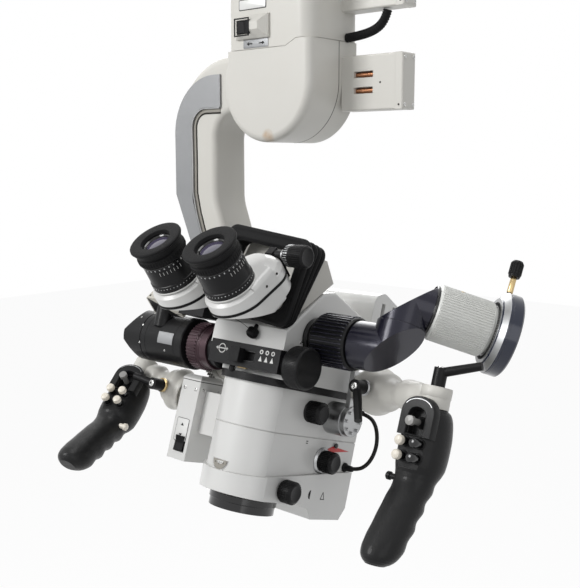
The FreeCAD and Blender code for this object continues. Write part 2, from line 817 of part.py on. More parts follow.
def head_middle():
    keep(carrier_plan("dovetail", S.body_radius + S.dovetail_margin, S.body_side + S.dovetail_margin,
                      S.body_back - 12, S.body_top, S.body_top + S.dovetail_thick), "dovetail_ring", HEAD)
    mass = plate("bracket_mass", [(-S.bracket_side, -S.bracket_front + 12), (-S.bracket_side + 12,
                                                                             -S.bracket_front),
                                  (S.bracket_side, -S.bracket_front), (S.bracket_side, 90),
                                  (S.bracket_side - 10, 100), (-S.bracket_side, 100)],
                 S.bracket_top - S.body_top - S.dovetail_thick, at(0, 0, S.body_top + S.dovetail_thick))
    boss = rod("tilt_boss", S.tilt_hub_radius, S.tilt_hub_right - S.gap - 20,
               at(-S.tilt_hub_right + S.gap, S.tilt_back, S.tilt_rise, ALONG_X))
    both = joined("bracket_solid", [mass, boss])
    bore = rod("boss_bore", S.axle_radius + S.fit, 60,
               at(-S.tilt_hub_right - 10, S.tilt_back, S.tilt_rise, ALONG_X))
    under = block("boss_trim", (-S.bracket_side - 0.01, 0, S.body_top - 20),
                  (-20, S.body_back, S.body_top + S.dovetail_thick))
    over = block("boss_trim_top", (-S.bracket_side, 0, S.bracket_top),
                 (-10, S.body_back, S.bracket_top + 30))
    return keep(without("head_bracket", both, [bore, under, over]), "head_bracket", HEAD)


def beam_splitter():
    side = side_profile("splitter_profile",
                        [(-40, S.bracket_top), (-40, 172), (2, 214), (20, 219), (96, 196), (96, 168),
                         (80, S.bracket_top)], S.bracket_side)
    body = rounded("splitter_body", side, 3, lambda edge: lies_at(edge, 0, S.bracket_side)
                   and edge.BoundBox.ZMin > float(S.bracket_top) + 1
                   or lies_at(edge, 0, -S.bracket_side)
                   and edge.BoundBox.ZMin > float(S.bracket_top) + 1)
    seat = rod("port_seat", S.spigot_radius + S.fit, 40, at(S.bracket_side - S.port_seat, 0, S.port_axis,
                                                            ALONG_X))
    return keep(without("beam_splitter", body, [seat]), "beam_splitter", HEAD)


def lamp_housing():
    """The rounded housing behind the splitter, where the light guide comes in."""
    body = new_body("lamp_block")
    pad(body, outline(body, [(96, 168), (150, 168), (156, 186), (142, 226), (112, 236), (96, 230)]), 70)
    soften(body, 12, lambda edge: runs_along(edge, 2) and edge.BoundBox.YMin > 200)
    body.Placement = at(-32, 0, 0, ACROSS)
    slots = [block("lamp_slot_%d" % number, (20, 110 + 20 * number, 205), (40, 116 + 20 * number, 225))
             for number in range(2)]
    return keep(without("lamp_housing", body, slots), "lamp_housing", HEAD)


def selector():
    front = S.bracket_front + S.bar_deep
    back = -S.bracket_front - S.gap
    step = S.bracket_top - S.gap
    bar = plate("bar_mass", [(-front, S.bar_floor), (back, S.bar_floor), (back, step), (-40 - S.gap, step),
                             (-40 - S.gap, S.bar_floor + S.bar_high), (-front, S.bar_floor + S.bar_high)],
                S.bar_right + S.bar_left, at(-S.bar_left, 0, 0, ACROSS))
    cap = turned("bar_cap", [(0, 0), (S.cap_radius - 3, 0), (S.cap_radius, 4), (S.cap_radius,
                                                                                S.cap_long - 1),
                             (S.cap_radius - 1, S.cap_long), (0, S.cap_long)],
                 at(S.bar_right, -S.bracket_front - 1, S.bar_floor + 10, ALONG_X))
    both = joined("bar_solid", [bar, cap])
    track = block("bar_track", (-6, -front - 1, S.bar_floor + 7), (22, -front + 5, S.bar_floor + 15))
    keep(without("selector_bar", both, [track]), "selector_bar", HEAD)
    half = S.slider_wide / 2
    foot = block("slider_foot", (-half, -front - 6, S.bar_floor + 7 + S.gap),
                 (half, -front + 4.7, S.bar_floor + 15 - S.gap))
    tab = block("slider_tab", (-half - 3, -front - 7, S.bar_floor + 4),
                (half, -front - 0.4, S.bar_floor + 17))
    keep(joined("selector_slider", [foot, tab]), "selector_slider", in_head(4, 0, 0))


def handle_bracket():
    """The bright bracket on the carrier's right side that carries the right handle's arm."""
    y, z = 64, 101
    side = S.body_side
    hub = rod("bracket_hub", 16, 20, at(side, y, z, ALONG_X))
    disc = rod("bracket_disc", 15, 6, at(side + 20, y, z, ALONG_X))
    bolts = [rod("bracket_bolt_%d" % number, 1.6, 2,
                 at(side + 26, y + 11 * math.cos(number * math.pi / 4),
                    z + 11 * math.sin(number * math.pi / 4),
                    ALONG_X)) for number in range(8)]
    strap = plate("bracket_strap", [(y - 9, z + 8), (y + 9, z + 8), (y + 12, z + 48), (y - 12, z + 48)], 5,
                  at(side + 20, 0, 0, ACROSS))
    return keep(joined("handle_bracket", [hub, disc, strap] + bolts), "handle_bracket", HEAD)


# Camera adapter at the left.
def camera_adapter():
    start = S.camera_start
    body = turned("adapter_mass", [(0, 0), (S.core_radius + 5, 0), (S.core_radius + 5, 7), (S.core_radius,
                                                                                            7),
                                   (S.core_radius, start - S.bracket_side), (S.camera_radius - 1,
                                                                             start - S.bracket_side),
                                   (S.camera_radius, start - S.bracket_side + 1),
                                   (S.camera_radius, S.camera_end - S.bracket_side),
                                   (0, S.camera_end - S.bracket_side)],
                  at(-S.bracket_side, -S.camera_forward, S.camera_axis, ALONG_LEFT))
    groove = turned("adapter_groove", [(S.camera_radius - 0.8, 0), (S.camera_radius + 2, 0),
                                       (S.camera_radius + 2, 1.2), (S.camera_radius - 0.8, 1.2)],
                    at(-S.camera_end + 27, -S.camera_forward, S.camera_axis, ALONG_LEFT))
    bevels = []
    for number, angle in enumerate((40, 160, 280)):
        bevels.append(block("adapter_bevel_%d" % number, (-40, -60, 0), (40, 60, 40),
                            at(-S.camera_end + 6, -S.camera_forward, S.camera_axis,
                               Rotation(Vector(1, 0, 0), angle)).multiply(
                                   at(0, 0, S.camera_radius - 4, Rotation(Vector(0, 1, 0), -38)))))
    keep(without("camera_adapter", body, [groove] + bevels), "camera_adapter", HEAD)
    ring = turned("focus_ring",
                  [(S.core_radius + S.fit, 0), (S.focus_radius - 2, 0), (S.focus_radius - 1.5, 1),
                                 (S.focus_radius - 1.5, 11), (S.focus_radius, 12), (S.focus_radius, 25),
                                 (S.focus_radius - 1, 26), (S.core_radius + 4, 26), (S.core_radius + 4,
                                                                                     30.3),
                                 (S.core_radius + S.fit, 30.3)])
    keep(ring, "focus_ring", in_head(-S.bracket_side - 7.3, -S.camera_forward, S.camera_axis, ALONG_LEFT))


def camera_box():
    """A small camera head on a stub above the adapter, and the dark prism that feeds it."""
    lean = Rotation(Vector(1, 0, 0), -float(S.eye_pitch))
    low = Vector(-140, -52, 181)
    mass = new_body("camera_case")
    pad(mass, outline(mass, [(0, 0), (S.box_wide, 0), (S.box_wide, S.box_deep), (0, S.box_deep)]),
        S.box_high)
    soften(mass, 1.5, lambda edge: runs_along(edge, 2))
    mass.Placement = Placement(low, lean)
    stub = rod("camera_stub", 9, 30, at(-124, -36, 155))
    adapter = rod("stub_trim", S.camera_radius + 0.02, 120, at(-S.camera_end, -S.camera_forward,
                                                               S.camera_axis, ALONG_X))
    foot = without("camera_foot", stub, [adapter, mass_copy("case_copy", mass)])
    room = rod("case_trim", S.camera_radius + S.gap, 120,
               at(-S.camera_end, -S.camera_forward, S.camera_axis, ALONG_X))
    case = without("camera_shell", mass, [room])
    wedge = plate("left_prism", [(-44, 171), (-14, 171), (-14, 192), (-30, 206), (-44, 192)],
                  35, at(-S.bracket_side - 50, 0, 0, ACROSS))
    neck = rod("prism_neck", 8, 18, at(-S.bracket_side - 18, -19.5, 184, ALONG_X))
    return keep(group("camera_box", [case, foot, joined("prism_solid", [wedge, neck])]), "camera_box", HEAD)


def mass_copy(name, item):
    doc.recompute()
    return from_shape(name, item.Shape.copy())


# Periscope port at the right.
def port_ring():
    ring = turned("port_ring", [(S.spigot_radius + S.fit, 0), (S.port_ring_radius - 6, 0),
                                (S.port_ring_radius - 6, 8), (S.port_ring_radius - 1.5, 11),
                                (S.port_ring_radius, 12.5), (S.port_ring_radius,
                                                             S.port_ring_end - S.bracket_side - 2.5),
                                (S.port_ring_radius - 1, S.port_ring_end - S.bracket_side - 1),
                                (S.spigot_radius + S.fit, S.port_ring_end - S.bracket_side - 1)])
    return keep(ring, "port_ring", in_head(S.bracket_side + S.gap, 0, S.port_axis, ALONG_X))


def elbow(name, lead, rise):
    """A round prism housing: in along +Z, out along +X, with a flat mirror face at 45 degrees."""
    radius = S.prism_radius
    inlet = rod(name + "_inlet", radius, lead + radius, at())
    outlet = rod(name + "_outlet", radius, rise + radius, at(-radius, 0, lead, ALONG_X))
    both = joined(name + "_both", [inlet, outlet])
    mirror = block(name + "_mirror", (-80, -40, 0), (80, 40, 80),
                   at(0, 0, lead, Rotation(Vector(0, 1, 0), -45)))
    return without(name + "_cut", both, [mirror])


def periscope():
    radius = S.prism_radius
    first_lead = 136 - S.port_ring_end - 1
    lower = elbow("lower_elbow", first_lead, radius)
    reach = S.port_ring_end - S.bracket_side + S.port_seat
    spigot = rod("port_spigot", S.spigot_radius, reach + 6, at(0, 0, -reach))
    collar = rod("port_collar", radius - 2, 6, at(0, 0, 0))
    lower_solid = joined("lower_prism", [lower, spigot, collar])
    # the elbow's own +Z goes to the head's +X, its own +X to the head's +Z leaned back
    base = Rotation(Vector(1, 0, 0), -float(S.prism_lean)).multiply(
        Rotation(Vector(0, 1, 0), 90).multiply(Rotation(Vector(0, 0, 1), 180)))
    keep(lower_solid, "lower_prism", in_head(S.port_ring_end + 1, 0, S.port_axis, base))
    upper = elbow("upper_elbow", radius, radius)
    keep(upper, "upper_prism", PERISCOPE_TOP)
    tube = turned("ribbed_tube", [(0, 0), (S.tube_radius - 1.5, 0), (S.tube_radius, 1.5),
                                  (S.tube_radius, S.tube_long - 3), (S.tube_radius - 3, S.tube_long - 3),
                                  (S.tube_radius - 3, S.tube_long), (14, S.tube_long), (14,
                                                                                        S.tube_long + 6),
                                  (0, S.tube_long + 6)])
    keep(tube, "ribbed_tube", PERISCOPE_TOP.multiply(at(radius, 0, radius, ALONG_X)))
    ring = turned("end_ring", [(14 + S.fit, 0), (S.end_ring_radius - 7, 0), (S.end_ring_radius, 6),
                               (S.end_ring_radius, S.end_ring_long - 1.5),
                               (S.end_ring_radius - 1.5, S.end_ring_long),
                               (S.end_ring_radius - 6, S.end_ring_long),
                               (S.end_ring_radius - 9, S.end_ring_long - 8), (0, S.end_ring_long - 8),
                               (0, 6), (14 + S.fit, 6)])
    ring_place = PERISCOPE_TOP.multiply(at(radius + S.tube_long + S.gap, 0, radius, ALONG_X))
    drill = rod("screw_seat", S.screw_radius + S.fit, 14,
                at(-(S.end_ring_radius - 8), 0, S.end_ring_long / 2, ALONG_LEFT))
    keep(without("end_ring", ring, [drill]), "end_ring", ring_place)
    screw = turned("thumb_screw", [(0, 0), (S.screw_radius, 0), (S.screw_radius, 24), (5, 24), (5.5, 26),
                                   (5.5, 38), (4.5, 39.5), (0, 39.5)])
    stand = at(-(S.end_ring_radius - 7.5), 0, S.end_ring_long / 2, ALONG_LEFT)
    keep(screw, "thumb_screw", ring_place.multiply(stand))


def periscope_frame():
    lean = Rotation(Vector(1, 0, 0), -float(S.prism_lean))
    up = lean.multVec(Vector(0, 0, 1))
    start = Vector(136, 0, float(S.port_axis)) + up * (float(S.prism_radius) + float(S.gap))
    return HEAD.multiply(Placement(start, lean.multiply(Rotation(Vector(0, 0, 1), float(S.prism_swivel)))))


PERISCOPE_TOP = periscope_frame()

# Binocular: eyepieces on two rhomb housings that swing about the input axes.
SIGHT = Rotation(Vector(1, 0, 0), 90 + float(S.eye_pitch))


def eye_frame(side, depth, rise=0):
    """Origin on an eyepiece axis, +Z along the sight line into the head, +Y up the slope."""
    pitch = math.radians(float(S.eye_pitch))
    into = Vector(0, math.cos(pitch), -math.sin(pitch))
    up = Vector(0, math.sin(pitch), math.cos(pitch))
    spot = Vector(side * float(S.eye_spacing) / 2, -float(S.eye_forward), float(S.eye_rise))
    spot = spot + into * float(depth) + up * float(rise)
    turn = Rotation(Vector(-1, 0, 0), up, into, "ZYX")
    return HEAD.multiply(Placement(spot, turn))


def eyepieces():
    long = S.eyepiece_long
    for side, tag in ((-1, "left"), (1, "right")):
        barrel = turned(tag + "_eyepiece",
                        [(0, 6), (13.5, 6), (13.5, 9), (16, 9), (16, 17), (S.barrel_radius - 1.5, 17),
                         (S.barrel_radius - 0.5, 18.5), (S.barrel_radius,
                                                         long - 8), (S.barrel_radius + 0.8, long - 7.5),
                         (S.barrel_radius + 0.8, long), (0, long)])
        keep(barrel, tag + "_eyepiece", eye_frame(side, 0))
        cup = turned(tag + "_eyecup",
                     [(13, 3.5), (14, 0.8), (S.eyecup_radius - 1.5, 0), (S.eyecup_radius, 1.6),
                      (S.barrel_radius - 1, 9.5), (S.barrel_radius + 0.6, 10.2), (S.barrel_radius + 0.6,
                                                                                  16),
                      (S.barrel_radius, 16.6), (16 + S.fit, 16.6), (16 + S.fit, 8.6), (14, 5.8)])
        keep(cup, tag + "_eyecup", eye_frame(side, 0))
        rhomb_housing(side, tag)


def rhomb_housing(side, tag):
    long = S.rhomb_thick
    lower = turned(tag + "_rhomb_low", [(0, 0), (S.rhomb_radius - 5, 0), (S.rhomb_radius, 4),
                                        (S.rhomb_radius, long - 8), (S.rhomb_radius - 8, long), (0, long)])
    upper = turned(tag + "_rhomb_up", [(0, 0), (S.rhomb_radius - 10, 0), (S.rhomb_radius - 3, 7),
                                       (S.rhomb_radius, 12), (S.rhomb_radius, long - 5),
                                       (S.rhomb_radius - 5, long), (0, long)], at(0, S.rhomb_reach, 0))
    half = S.rhomb_radius
    web = new_body(tag + "_web")
    pad(web, outline(web, [(-half, 0), (half, 0), (half, S.rhomb_reach), (-half, S.rhomb_reach)]), long)
    soften(web, 5, lambda edge: runs_along(edge, 1))
    mass = joined(tag + "_rhomb", [lower, upper, web])
    slant = Rotation(Vector(1, 0, 0), 30)
    under = block(tag + "_under", (-60, -60, 0), (60, 60, 60), at(0, -S.rhomb_radius, S.rhomb_belt, slant))
    body = without(tag + "_rhomb_cut", mass, [under])
    pin = rod(tag + "_pin", 7, 14, at(0, S.rhomb_reach, long - 4))
    stem = rod(tag + "_stem", 12, 14, at(0, S.rhomb_reach, long - 14))
    solid = joined(tag + "_rhomb_pin", [body, stem, pin])
    return keep(solid, tag + "_ocular", eye_frame(side, S.eyepiece_long))


def yoke():
    """The plate that carries both oculars and tilts on a pin through the base's tongue."""
    back = S.eyepiece_long + S.rhomb_thick + S.gap
    solid = block("yoke_plate", (-S.eye_spacing / 2 - 10, -14, 0), (S.eye_spacing / 2 + 10, 9,
                                                                    S.yoke_thick - 1))
    knuckles = []
    for number, side in enumerate((-1, 1)):
        start = S.tongue_half + S.gap if side > 0 else -S.tongue_half - S.gap - 11
        knuckles.append(rod("knuckle_%d" % number, S.knuckle_radius, 11,
                            at(start, S.knuckle_rise, S.yoke_axis, ALONG_X)))
        knuckles.append(block("knuckle_web_%d" % number,
                              (start, S.knuckle_rise - S.knuckle_radius, S.yoke_thick - 2),
                              (start + 11, S.knuckle_rise + S.knuckle_radius, S.yoke_axis)))
    knuckles.append(block("yoke_middle", (-36, -10, 0), (36, 12, S.yoke_thick)))
    post = block("yoke_post", (-36, 8, -30), (-28, 35, 3))
    lobe = rod("lobe_room", S.rhomb_radius + 0.6, 40, at(-S.eye_spacing / 2, 0, -40))
    knuckles.append(without("yoke_bracket", post, [lobe]))
    knuckles.append(rod("knob_boss", 4.4, 16, at(-44, 31, -25, ALONG_X)))
    bores = [rod("yoke_bore_%d" % number, 7 + S.fit, 20, at(side * float(S.eye_spacing) / 2, 0, -5))
             for number, side in enumerate((-1, 1))]
    bores.append(rod("knob_bore", 2.5 + S.fit, 20, at(-50, 31, -25, ALONG_X)))
    pin = rod("yoke_pin", S.yoke_pin, 2 * S.tongue_half + 20, at(-S.tongue_half - 10, S.knuckle_rise,
                                                                 S.yoke_axis, ALONG_X))
    frame = eye_frame(0, back, S.rhomb_reach)
    return keep(without("ocular_yoke", joined("yoke_solid", [solid, pin] + knuckles), bores),
                "ocular_yoke", frame)


def bellows():
    """Rubber folds round the yoke: a fan of rounded frames, closer together at the bottom."""
    wide, high, wall = float(S.bellows_wide), float(S.bellows_high), float(S.bellows_wall)
    shapes = []
    for number in range(S_RIBS):
        share = number / (S_RIBS - 1)
        grow = 0 if number % 2 else 2.5
        thick = float(S.rib_thick) + 0.5
        outer = rounded_frame(wide - 2 * grow, high - 2 * grow, 12, thick)
        lip = float(S.bellows_lip) if number == S_RIBS - 1 else 0
        hole = rounded_frame(wide - 2 * wall - 2 * lip, high - 2 * wall - lip, 8, thick)
        ring = outer.cut(hole)
        lean = float(S.bellows_lean) + float(S.bellows_fan) * (1 - share)
        roll = Rotation(Vector(0, 1, 0), float(S.bellows_roll))
        ring.Placement = at(0, -28.4 - 15.2 * share, 218.2 + 0.9 * share,
                            roll.multiply(Rotation(Vector(1, 0, 0), 90 - lean)))
        shapes.append(ring)
    solid = shapes[0].fuse(shapes[1:]).removeSplitter()
    return keep(from_shape("bellows", solid, HEAD), "bellows")


def rounded_frame(wide, high, corner, thick):
    box = Part.makeBox(wide, high, thick, Vector(-wide / 2, -high / 2, 0))
    edges = [edge for edge in box.Edges if runs_along(edge, 2)]
    return box.makeFillet(corner, edges)


def binocular_base():
    """A wedge over the splitter's slope, with a tongue through the bellows for the yoke's pin."""
    rolled = side_profile("base_block", [(-37, 172), (-18.5, 249), (-8, 249), (19, 223), (19, 172)],
                          S.bracket_side)
    roll = Rotation(Vector(0, 1, 0), float(S.bellows_roll))
    rolled.Placement = at(0, 0, 217.5, roll).multiply(at(0, 0, -217.5)).multiply(rolled.Placement)
    under = block("base_trim", (-90, -90, -60), (90, 90, 0), at(0, -11.1, 204.1, Rotation(Vector(1, 0, 0),
                                                                                          45)))
    wedge = without("base_wedge", rolled, [under])
    axis = HEAD.inverse().multiply(eye_frame(0, S.eyepiece_long + S.rhomb_thick + S.gap,
                                             S.rhomb_reach)).multVec(
        Vector(0, float(S.knuckle_rise), float(S.yoke_axis)))
    barrel = rod("tongue_barrel", S.knuckle_radius, 2 * S.tongue_half, at(-S.tongue_half, axis.y, axis.z,
                                                                          ALONG_X))
    tongue = block("tongue_bar", (-S.tongue_half, axis.y, axis.z - 4.5), (S.tongue_half, -30, axis.z + 4.5))
    solid = joined("base_solid", [wedge, barrel, tongue])
    bore = rod("tongue_bore", S.yoke_pin + S.fit, 60, at(-30, axis.y, axis.z, ALONG_X))
    keep(without("binocular_base", solid, [bore]), "binocular_base", HEAD)
    slope = Rotation(Vector(1, 0, 0), 45)
    disc = rod("base_flange", 31, 1.9)
    return keep(disc, "base_flange", in_head(0, -14, 198.05, slope))


def ipd_knob():
    body = turned("ipd_knob", [(0, -13), (2.5, -13), (2.5, 0), (4, 0), (4, 6), (9.5, 6), (10, 7), (10, 27),
                               (9, 28),
                               (0, 28)])
    frame = eye_frame(0, S.eyepiece_long + S.rhomb_thick + S.gap, S.rhomb_reach)
    return keep(body, "ipd_knob", frame.multiply(at(-44.3, 31, -25, ALONG_LEFT)))


# Handles.
def eased(stations, share):
    """A smooth value between the stations of a profile, without overshoot."""
    for (start, first), (end, last) in zip(stations, stations[1:]):
        if share <= end:
            part = (share - start) / (end - start)
            return first + (last - first) * (1 - math.cos(math.pi * part)) / 2
    return stations[-1][1]


def handle_arm(tag, start, end, tilt, lever_spot, drop):
    """A cast arm: a hub across the head, a bulb, a waist, and an eye for the grip's pivot."""
    first = Vector(*start)
    last = Vector(*end)
    side = 1 if last.x > first.x else -1
    root = first + Vector(side * 9, 0, 0)
    reach = last - root
    big, thin = float(S.arm_root_radius), float(S.arm_neck_radius)
    stations = ((0, 0.5 * big), (0.08, 0.85 * big), (0.2, big), (0.34, 0.82 * big), (0.46, thin + 1.5),
                (0.55, thin), (0.66, thin + 3), (0.76, thin + 2), (0.88, thin - 1.5), (1, thin - 2.5))
    rings = []
    for number in range(25):
        share = number / 24
        rings.append(Part.Wire([Part.Circle(root + reach * share, reach,
                                            eased(stations, share)).toShape()]))
    solid = Part.makeLoft(rings, True, False)
    hub = Part.makeCylinder(12, 16, first + Vector(side * float(S.gap), 0, 0), Vector(side, 0, 0))
    up = tilt.multVec(Vector(0, 0, 1))
    eye = Part.makeCylinder(13, float(S.eye_rise_top) + drop, last - up * drop, up)
    solid = solid.fuse([hub, eye]).removeSplitter()
    pivot = Part.makeCylinder(7 + float(S.fit), 9, last - up * (drop + 0.5), up)
    lever_bore = Part.makeCylinder(3 + float(S.fit), 12, last + up * (float(S.eye_rise_top) - 7), up)
    spot, aim = lever_spot
    arm_bore = Part.makeCylinder(3 + float(S.fit), 30, spot - aim * 10, aim)
    room = Part.makeCylinder(30, 60, last - up * drop, up * -1)
    solid = solid.cut([pivot, lever_bore, arm_bore, room])
    return keep(from_shape(tag + "_handle_arm", solid, HEAD), tag + "_handle_arm")


GRIP_STATIONS = (
    # depth as a share of the length, then half width, front and rear as shares of the half width
    (0.00, 0.66, -0.68, 0.66), (0.02, 0.84, -0.86, 0.84), (0.06, 0.97, -1.04, 0.98),
    (0.12, 1.05, -1.14, 1.08), (0.20, 1.10, -1.22, 1.15), (0.28, 1.11, -1.24, 1.14),
    (0.37, 1.08, -1.22, 1.08), (0.42, 1.00, -1.14, 0.90), (0.47, 0.90, -0.98, 0.80),
    (0.53, 0.87, -0.96, 1.00), (0.59, 0.86, -0.98, 0.78), (0.65, 0.88, -1.00, 0.98),
    (0.71, 0.86, -1.00, 0.78), (0.77, 0.88, -1.00, 0.98), (0.83, 0.87, -1.00, 0.80),
    (0.89, 0.87, -0.98, 0.93), (0.94, 0.80, -0.89, 0.83), (0.975, 0.66, -0.72, 0.67),
    (1.00, 0.42, -0.48, 0.42))
GRIP_RINGS = 64


def flowing(stations, share):
    """A smooth value through the stations of a profile that never passes beyond its neighbours."""
    steps = [(last - first) / (end - start) for (start, first), (end, last) in zip(stations, stations[1:])]
    slopes = [steps[0]] + [0 if before * after <= 0 else 2 * before * after / (before + after)
                           for before, after in zip(steps, steps[1:])] + [steps[-1]]
    number = max(index for index, (start, _) in enumerate(stations[:-1]) if start <= share)
    (start, first), (end, last) = stations[number:number + 2]
    wide = end - start
    part = (share - start) / wide
    rise = slopes[number] * wide * part * (1 - part) ** 2
    fall = slopes[number + 1] * wide * part ** 2 * (1 - part)
    return first * (1 + 2 * part) * (1 - part) ** 2 + last * part ** 2 * (3 - 2 * part) + rise - fall


def button_spots():
    """Where the four buttons' stems cross the grip's front."""
    front = -1.2 * float(S.grip_half_wide)
    side, drop, step = float(S.button_side), float(S.button_drop), float(S.button_step)
    return [Vector(side * (2 * (number % 2) - 1), front + 0.2, -drop - step * (number // 2))
            for number in range(4)]


def grip(tag, frame):
    half, long, bend = float(S.grip_half_wide), float(S.grip_length), float(S.grip_bend)
    columns = [[(row[0], row[column]) for row in GRIP_STATIONS] for column in (1, 2, 3)]
    rings = []
    for number in range(GRIP_RINGS + 1):
        share = number / GRIP_RINGS
        wide, front, rear = [flowing(column, share) for column in columns]
        shift = -bend * max(0, share - 0.42) / 0.58
        across = wide * half
        deep = max((rear - front) * half / 2, across + 0.01)
        centre = Vector(0, (rear + front) * half / 2 + shift, -share * long)
        curve = Part.Ellipse(centre + Vector(0, deep, 0), centre + Vector(across, 0, 0), centre)
        rings.append(Part.Wire([curve.toShape()]))
    solid = Part.makeLoft(rings, True, True)
    panel = float(S.panel_front)
    panel_long = float(S.panel_long)
    flat = Part.makeBox(4 * half, half, panel_long, Vector(-2 * half, -panel - half, -panel_long))
    wide, high = float(S.recess_wide), float(S.recess_high)
    back = -float(S.joystick_set) + float(S.gap)
    recess = Part.makeBox(wide, 2 * half, high,
                          Vector(-wide / 2, back - 2 * half, -float(S.joystick_drop) - high / 2))
    pivot = Part.makeCylinder(7, 9.5, Vector(0, 0, -2))
    holes = []
    for spot in button_spots():
        holes.append(Part.makeCylinder(float(S.button_radius) - 1 + 0.15, 20, spot + Vector(0, 6.5, 0),
                                       Vector(0, -1, 0)))
    solid = solid.cut([flat, recess] + holes).fuse(pivot)
    return keep(from_shape(tag + "_grip", solid, frame), tag + "_grip")


def handle_controls(tag, frame):
    stick = turned(tag + "_joystick", [(0, 0), (0.7, 0), (S.joystick_radius, 2.4), (S.joystick_radius, 15),
                                       (S.joystick_radius + 1.4, 16), (S.joystick_radius + 1.4, 20),
                                       (0, 20.5)])
    face = Rotation(Vector(1, 0, 0), 90)
    keep(stick, tag + "_joystick", frame.multiply(at(0, -S.joystick_set, -S.joystick_drop, face)))
    pieces = []
    for number, spot in enumerate(button_spots()):
        pieces.append(turned("%s_button_%d" % (tag, number),
                             [(0, -4), (S.button_radius - 1, -4), (S.button_radius - 1, 2),
                              (S.button_radius, 2.4),
                              (S.button_radius, S.button_high), (0, S.button_high)],
                             at(spot.x, spot.y, spot.z, face)))
    keep(group(tag + "_buttons", pieces), tag + "_buttons", frame)


def lever(name, frame, swing, long):
    """A clamping lever: a pin, a hub and a tapered arm set off at an angle."""
    hub = rod(name + "_hub", S.lever_radius, 16, at(0, 0, 0.3))
    pin = rod(name + "_pin", 3, 7, at(0, 0, -6))
    arm = Part.makeLoft([Part.Wire([Part.Circle(Vector(0, 0, 12), Vector(1, 0, 0.35), 4.2).toShape()]),
                         Part.Wire([Part.Circle(Vector(float(long), 0, 12 + 0.35 * float(long)),
                                                Vector(1, 0, 0.35), 3.6).toShape()])], True)
    bar = from_shape(name + "_bar", arm)
    return keep(joined(name, [hub, pin, bar]), name, frame.multiply(at(0, 0, 0, Rotation(Vector(0, 0, 1),
                                                                                         swing))))


def handles():
    sides = (("right", (S.body_side + 25, 62, 134), (184, 1.7, 138), 2, 0, 10, -60, S.eye_drop_right),
             ("left", (-S.drive_right - S.drive_wide, 12, 92), (-180, 2, 106), 33, 21, 190, 172,
              S.eye_drop))
    for tag, start, end, lean, inward, grip_swing, arm_swing, drop in sides:
        drop = float(drop)
        start = tuple(float(amount) for amount in start)
        first, last = Vector(*start), Vector(*end)
        middle = first + (last - first) * 0.3
        aim = Vector(0, -1, 0)
        spot = middle + aim * (float(S.arm_root_radius) + 0.5)
        turn = Rotation(Vector(0, 0, 1), inward).multiply(Rotation(Vector(1, 0, 0), -lean))
        handle_arm(tag, start, end, turn, (spot, aim), drop)
        frame = in_head(*last).multiply(at(0, 0, 0, turn))
        grip(tag, frame.multiply(at(0, 0, -drop - S.gap)))
        handle_controls(tag, frame.multiply(at(0, 0, -drop - S.gap)))
        lever(tag + "_grip_lever", frame.multiply(at(0, 0, S.eye_rise_top)), grip_swing, S.lever_long)
        lever(tag + "_arm_lever", in_head(spot.x, spot.y, spot.z, Rotation(Vector(1, 0, 0), 90)), arm_swing,
              S.lever_long * (0.7 if tag == "left" else 1))


def cables():
    cable("conduit", [(float(S.lobe_radius) + 0.3, 19, 40), (71, 19, 41), (88, 19, 45), (97, 19, 53),
                      (99, 19.4, 61)],
          S.conduit_radius, HUB)
    cable("rear_lead", [(37.3, 100, 110), (54, 100, 110), (68, 98, 101), (74, 97, 82), (68, 98, 63),
                        (54, 99, 53), (37.3, 101, 53)], S.lead_radius, HEAD)


top_casting()
front_cover()
rear_shell()
swing_axle()
balance_rocker()
side_boxes()
swing_arm()
arm_inlay()
tilt_wheel()
carrier_base()
carrier_body()
objective()
knob("magnification_knob", S.body_side, 28, 103, 2)
knob("focus_knob", S.body_side, 61, 57.5, 3)
knob("aperture_knob", S.base_side, 6, 27, 2)
drive_box()
head_middle()
beam_splitter()
lamp_housing()
selector()
handle_bracket()
camera_adapter()
camera_box()
port_ring()
periscope()
eyepieces()
yoke()
bellows()
binocular_base()
ipd_knob()
handles()
cables()
doc.recompute()

broken = [item.Name for item in doc.Objects if "Invalid" in item.State or "Error" in item.State]
if broken:
    raise RuntimeError("failed objects: " + ", ".join(broken))
for name, item in nodes.items():
    if item.Shape.isNull() or not item.Shape.isValid():
        raise RuntimeError("bad shape: " + name)
for name, item in nodes.items():
    item.Shape.exportStep("parts/%s.step" % name)
print(len(nodes), "nodes")
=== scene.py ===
"""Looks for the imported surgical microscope: paints its nodes and adds the fine pieces that sit on them."""

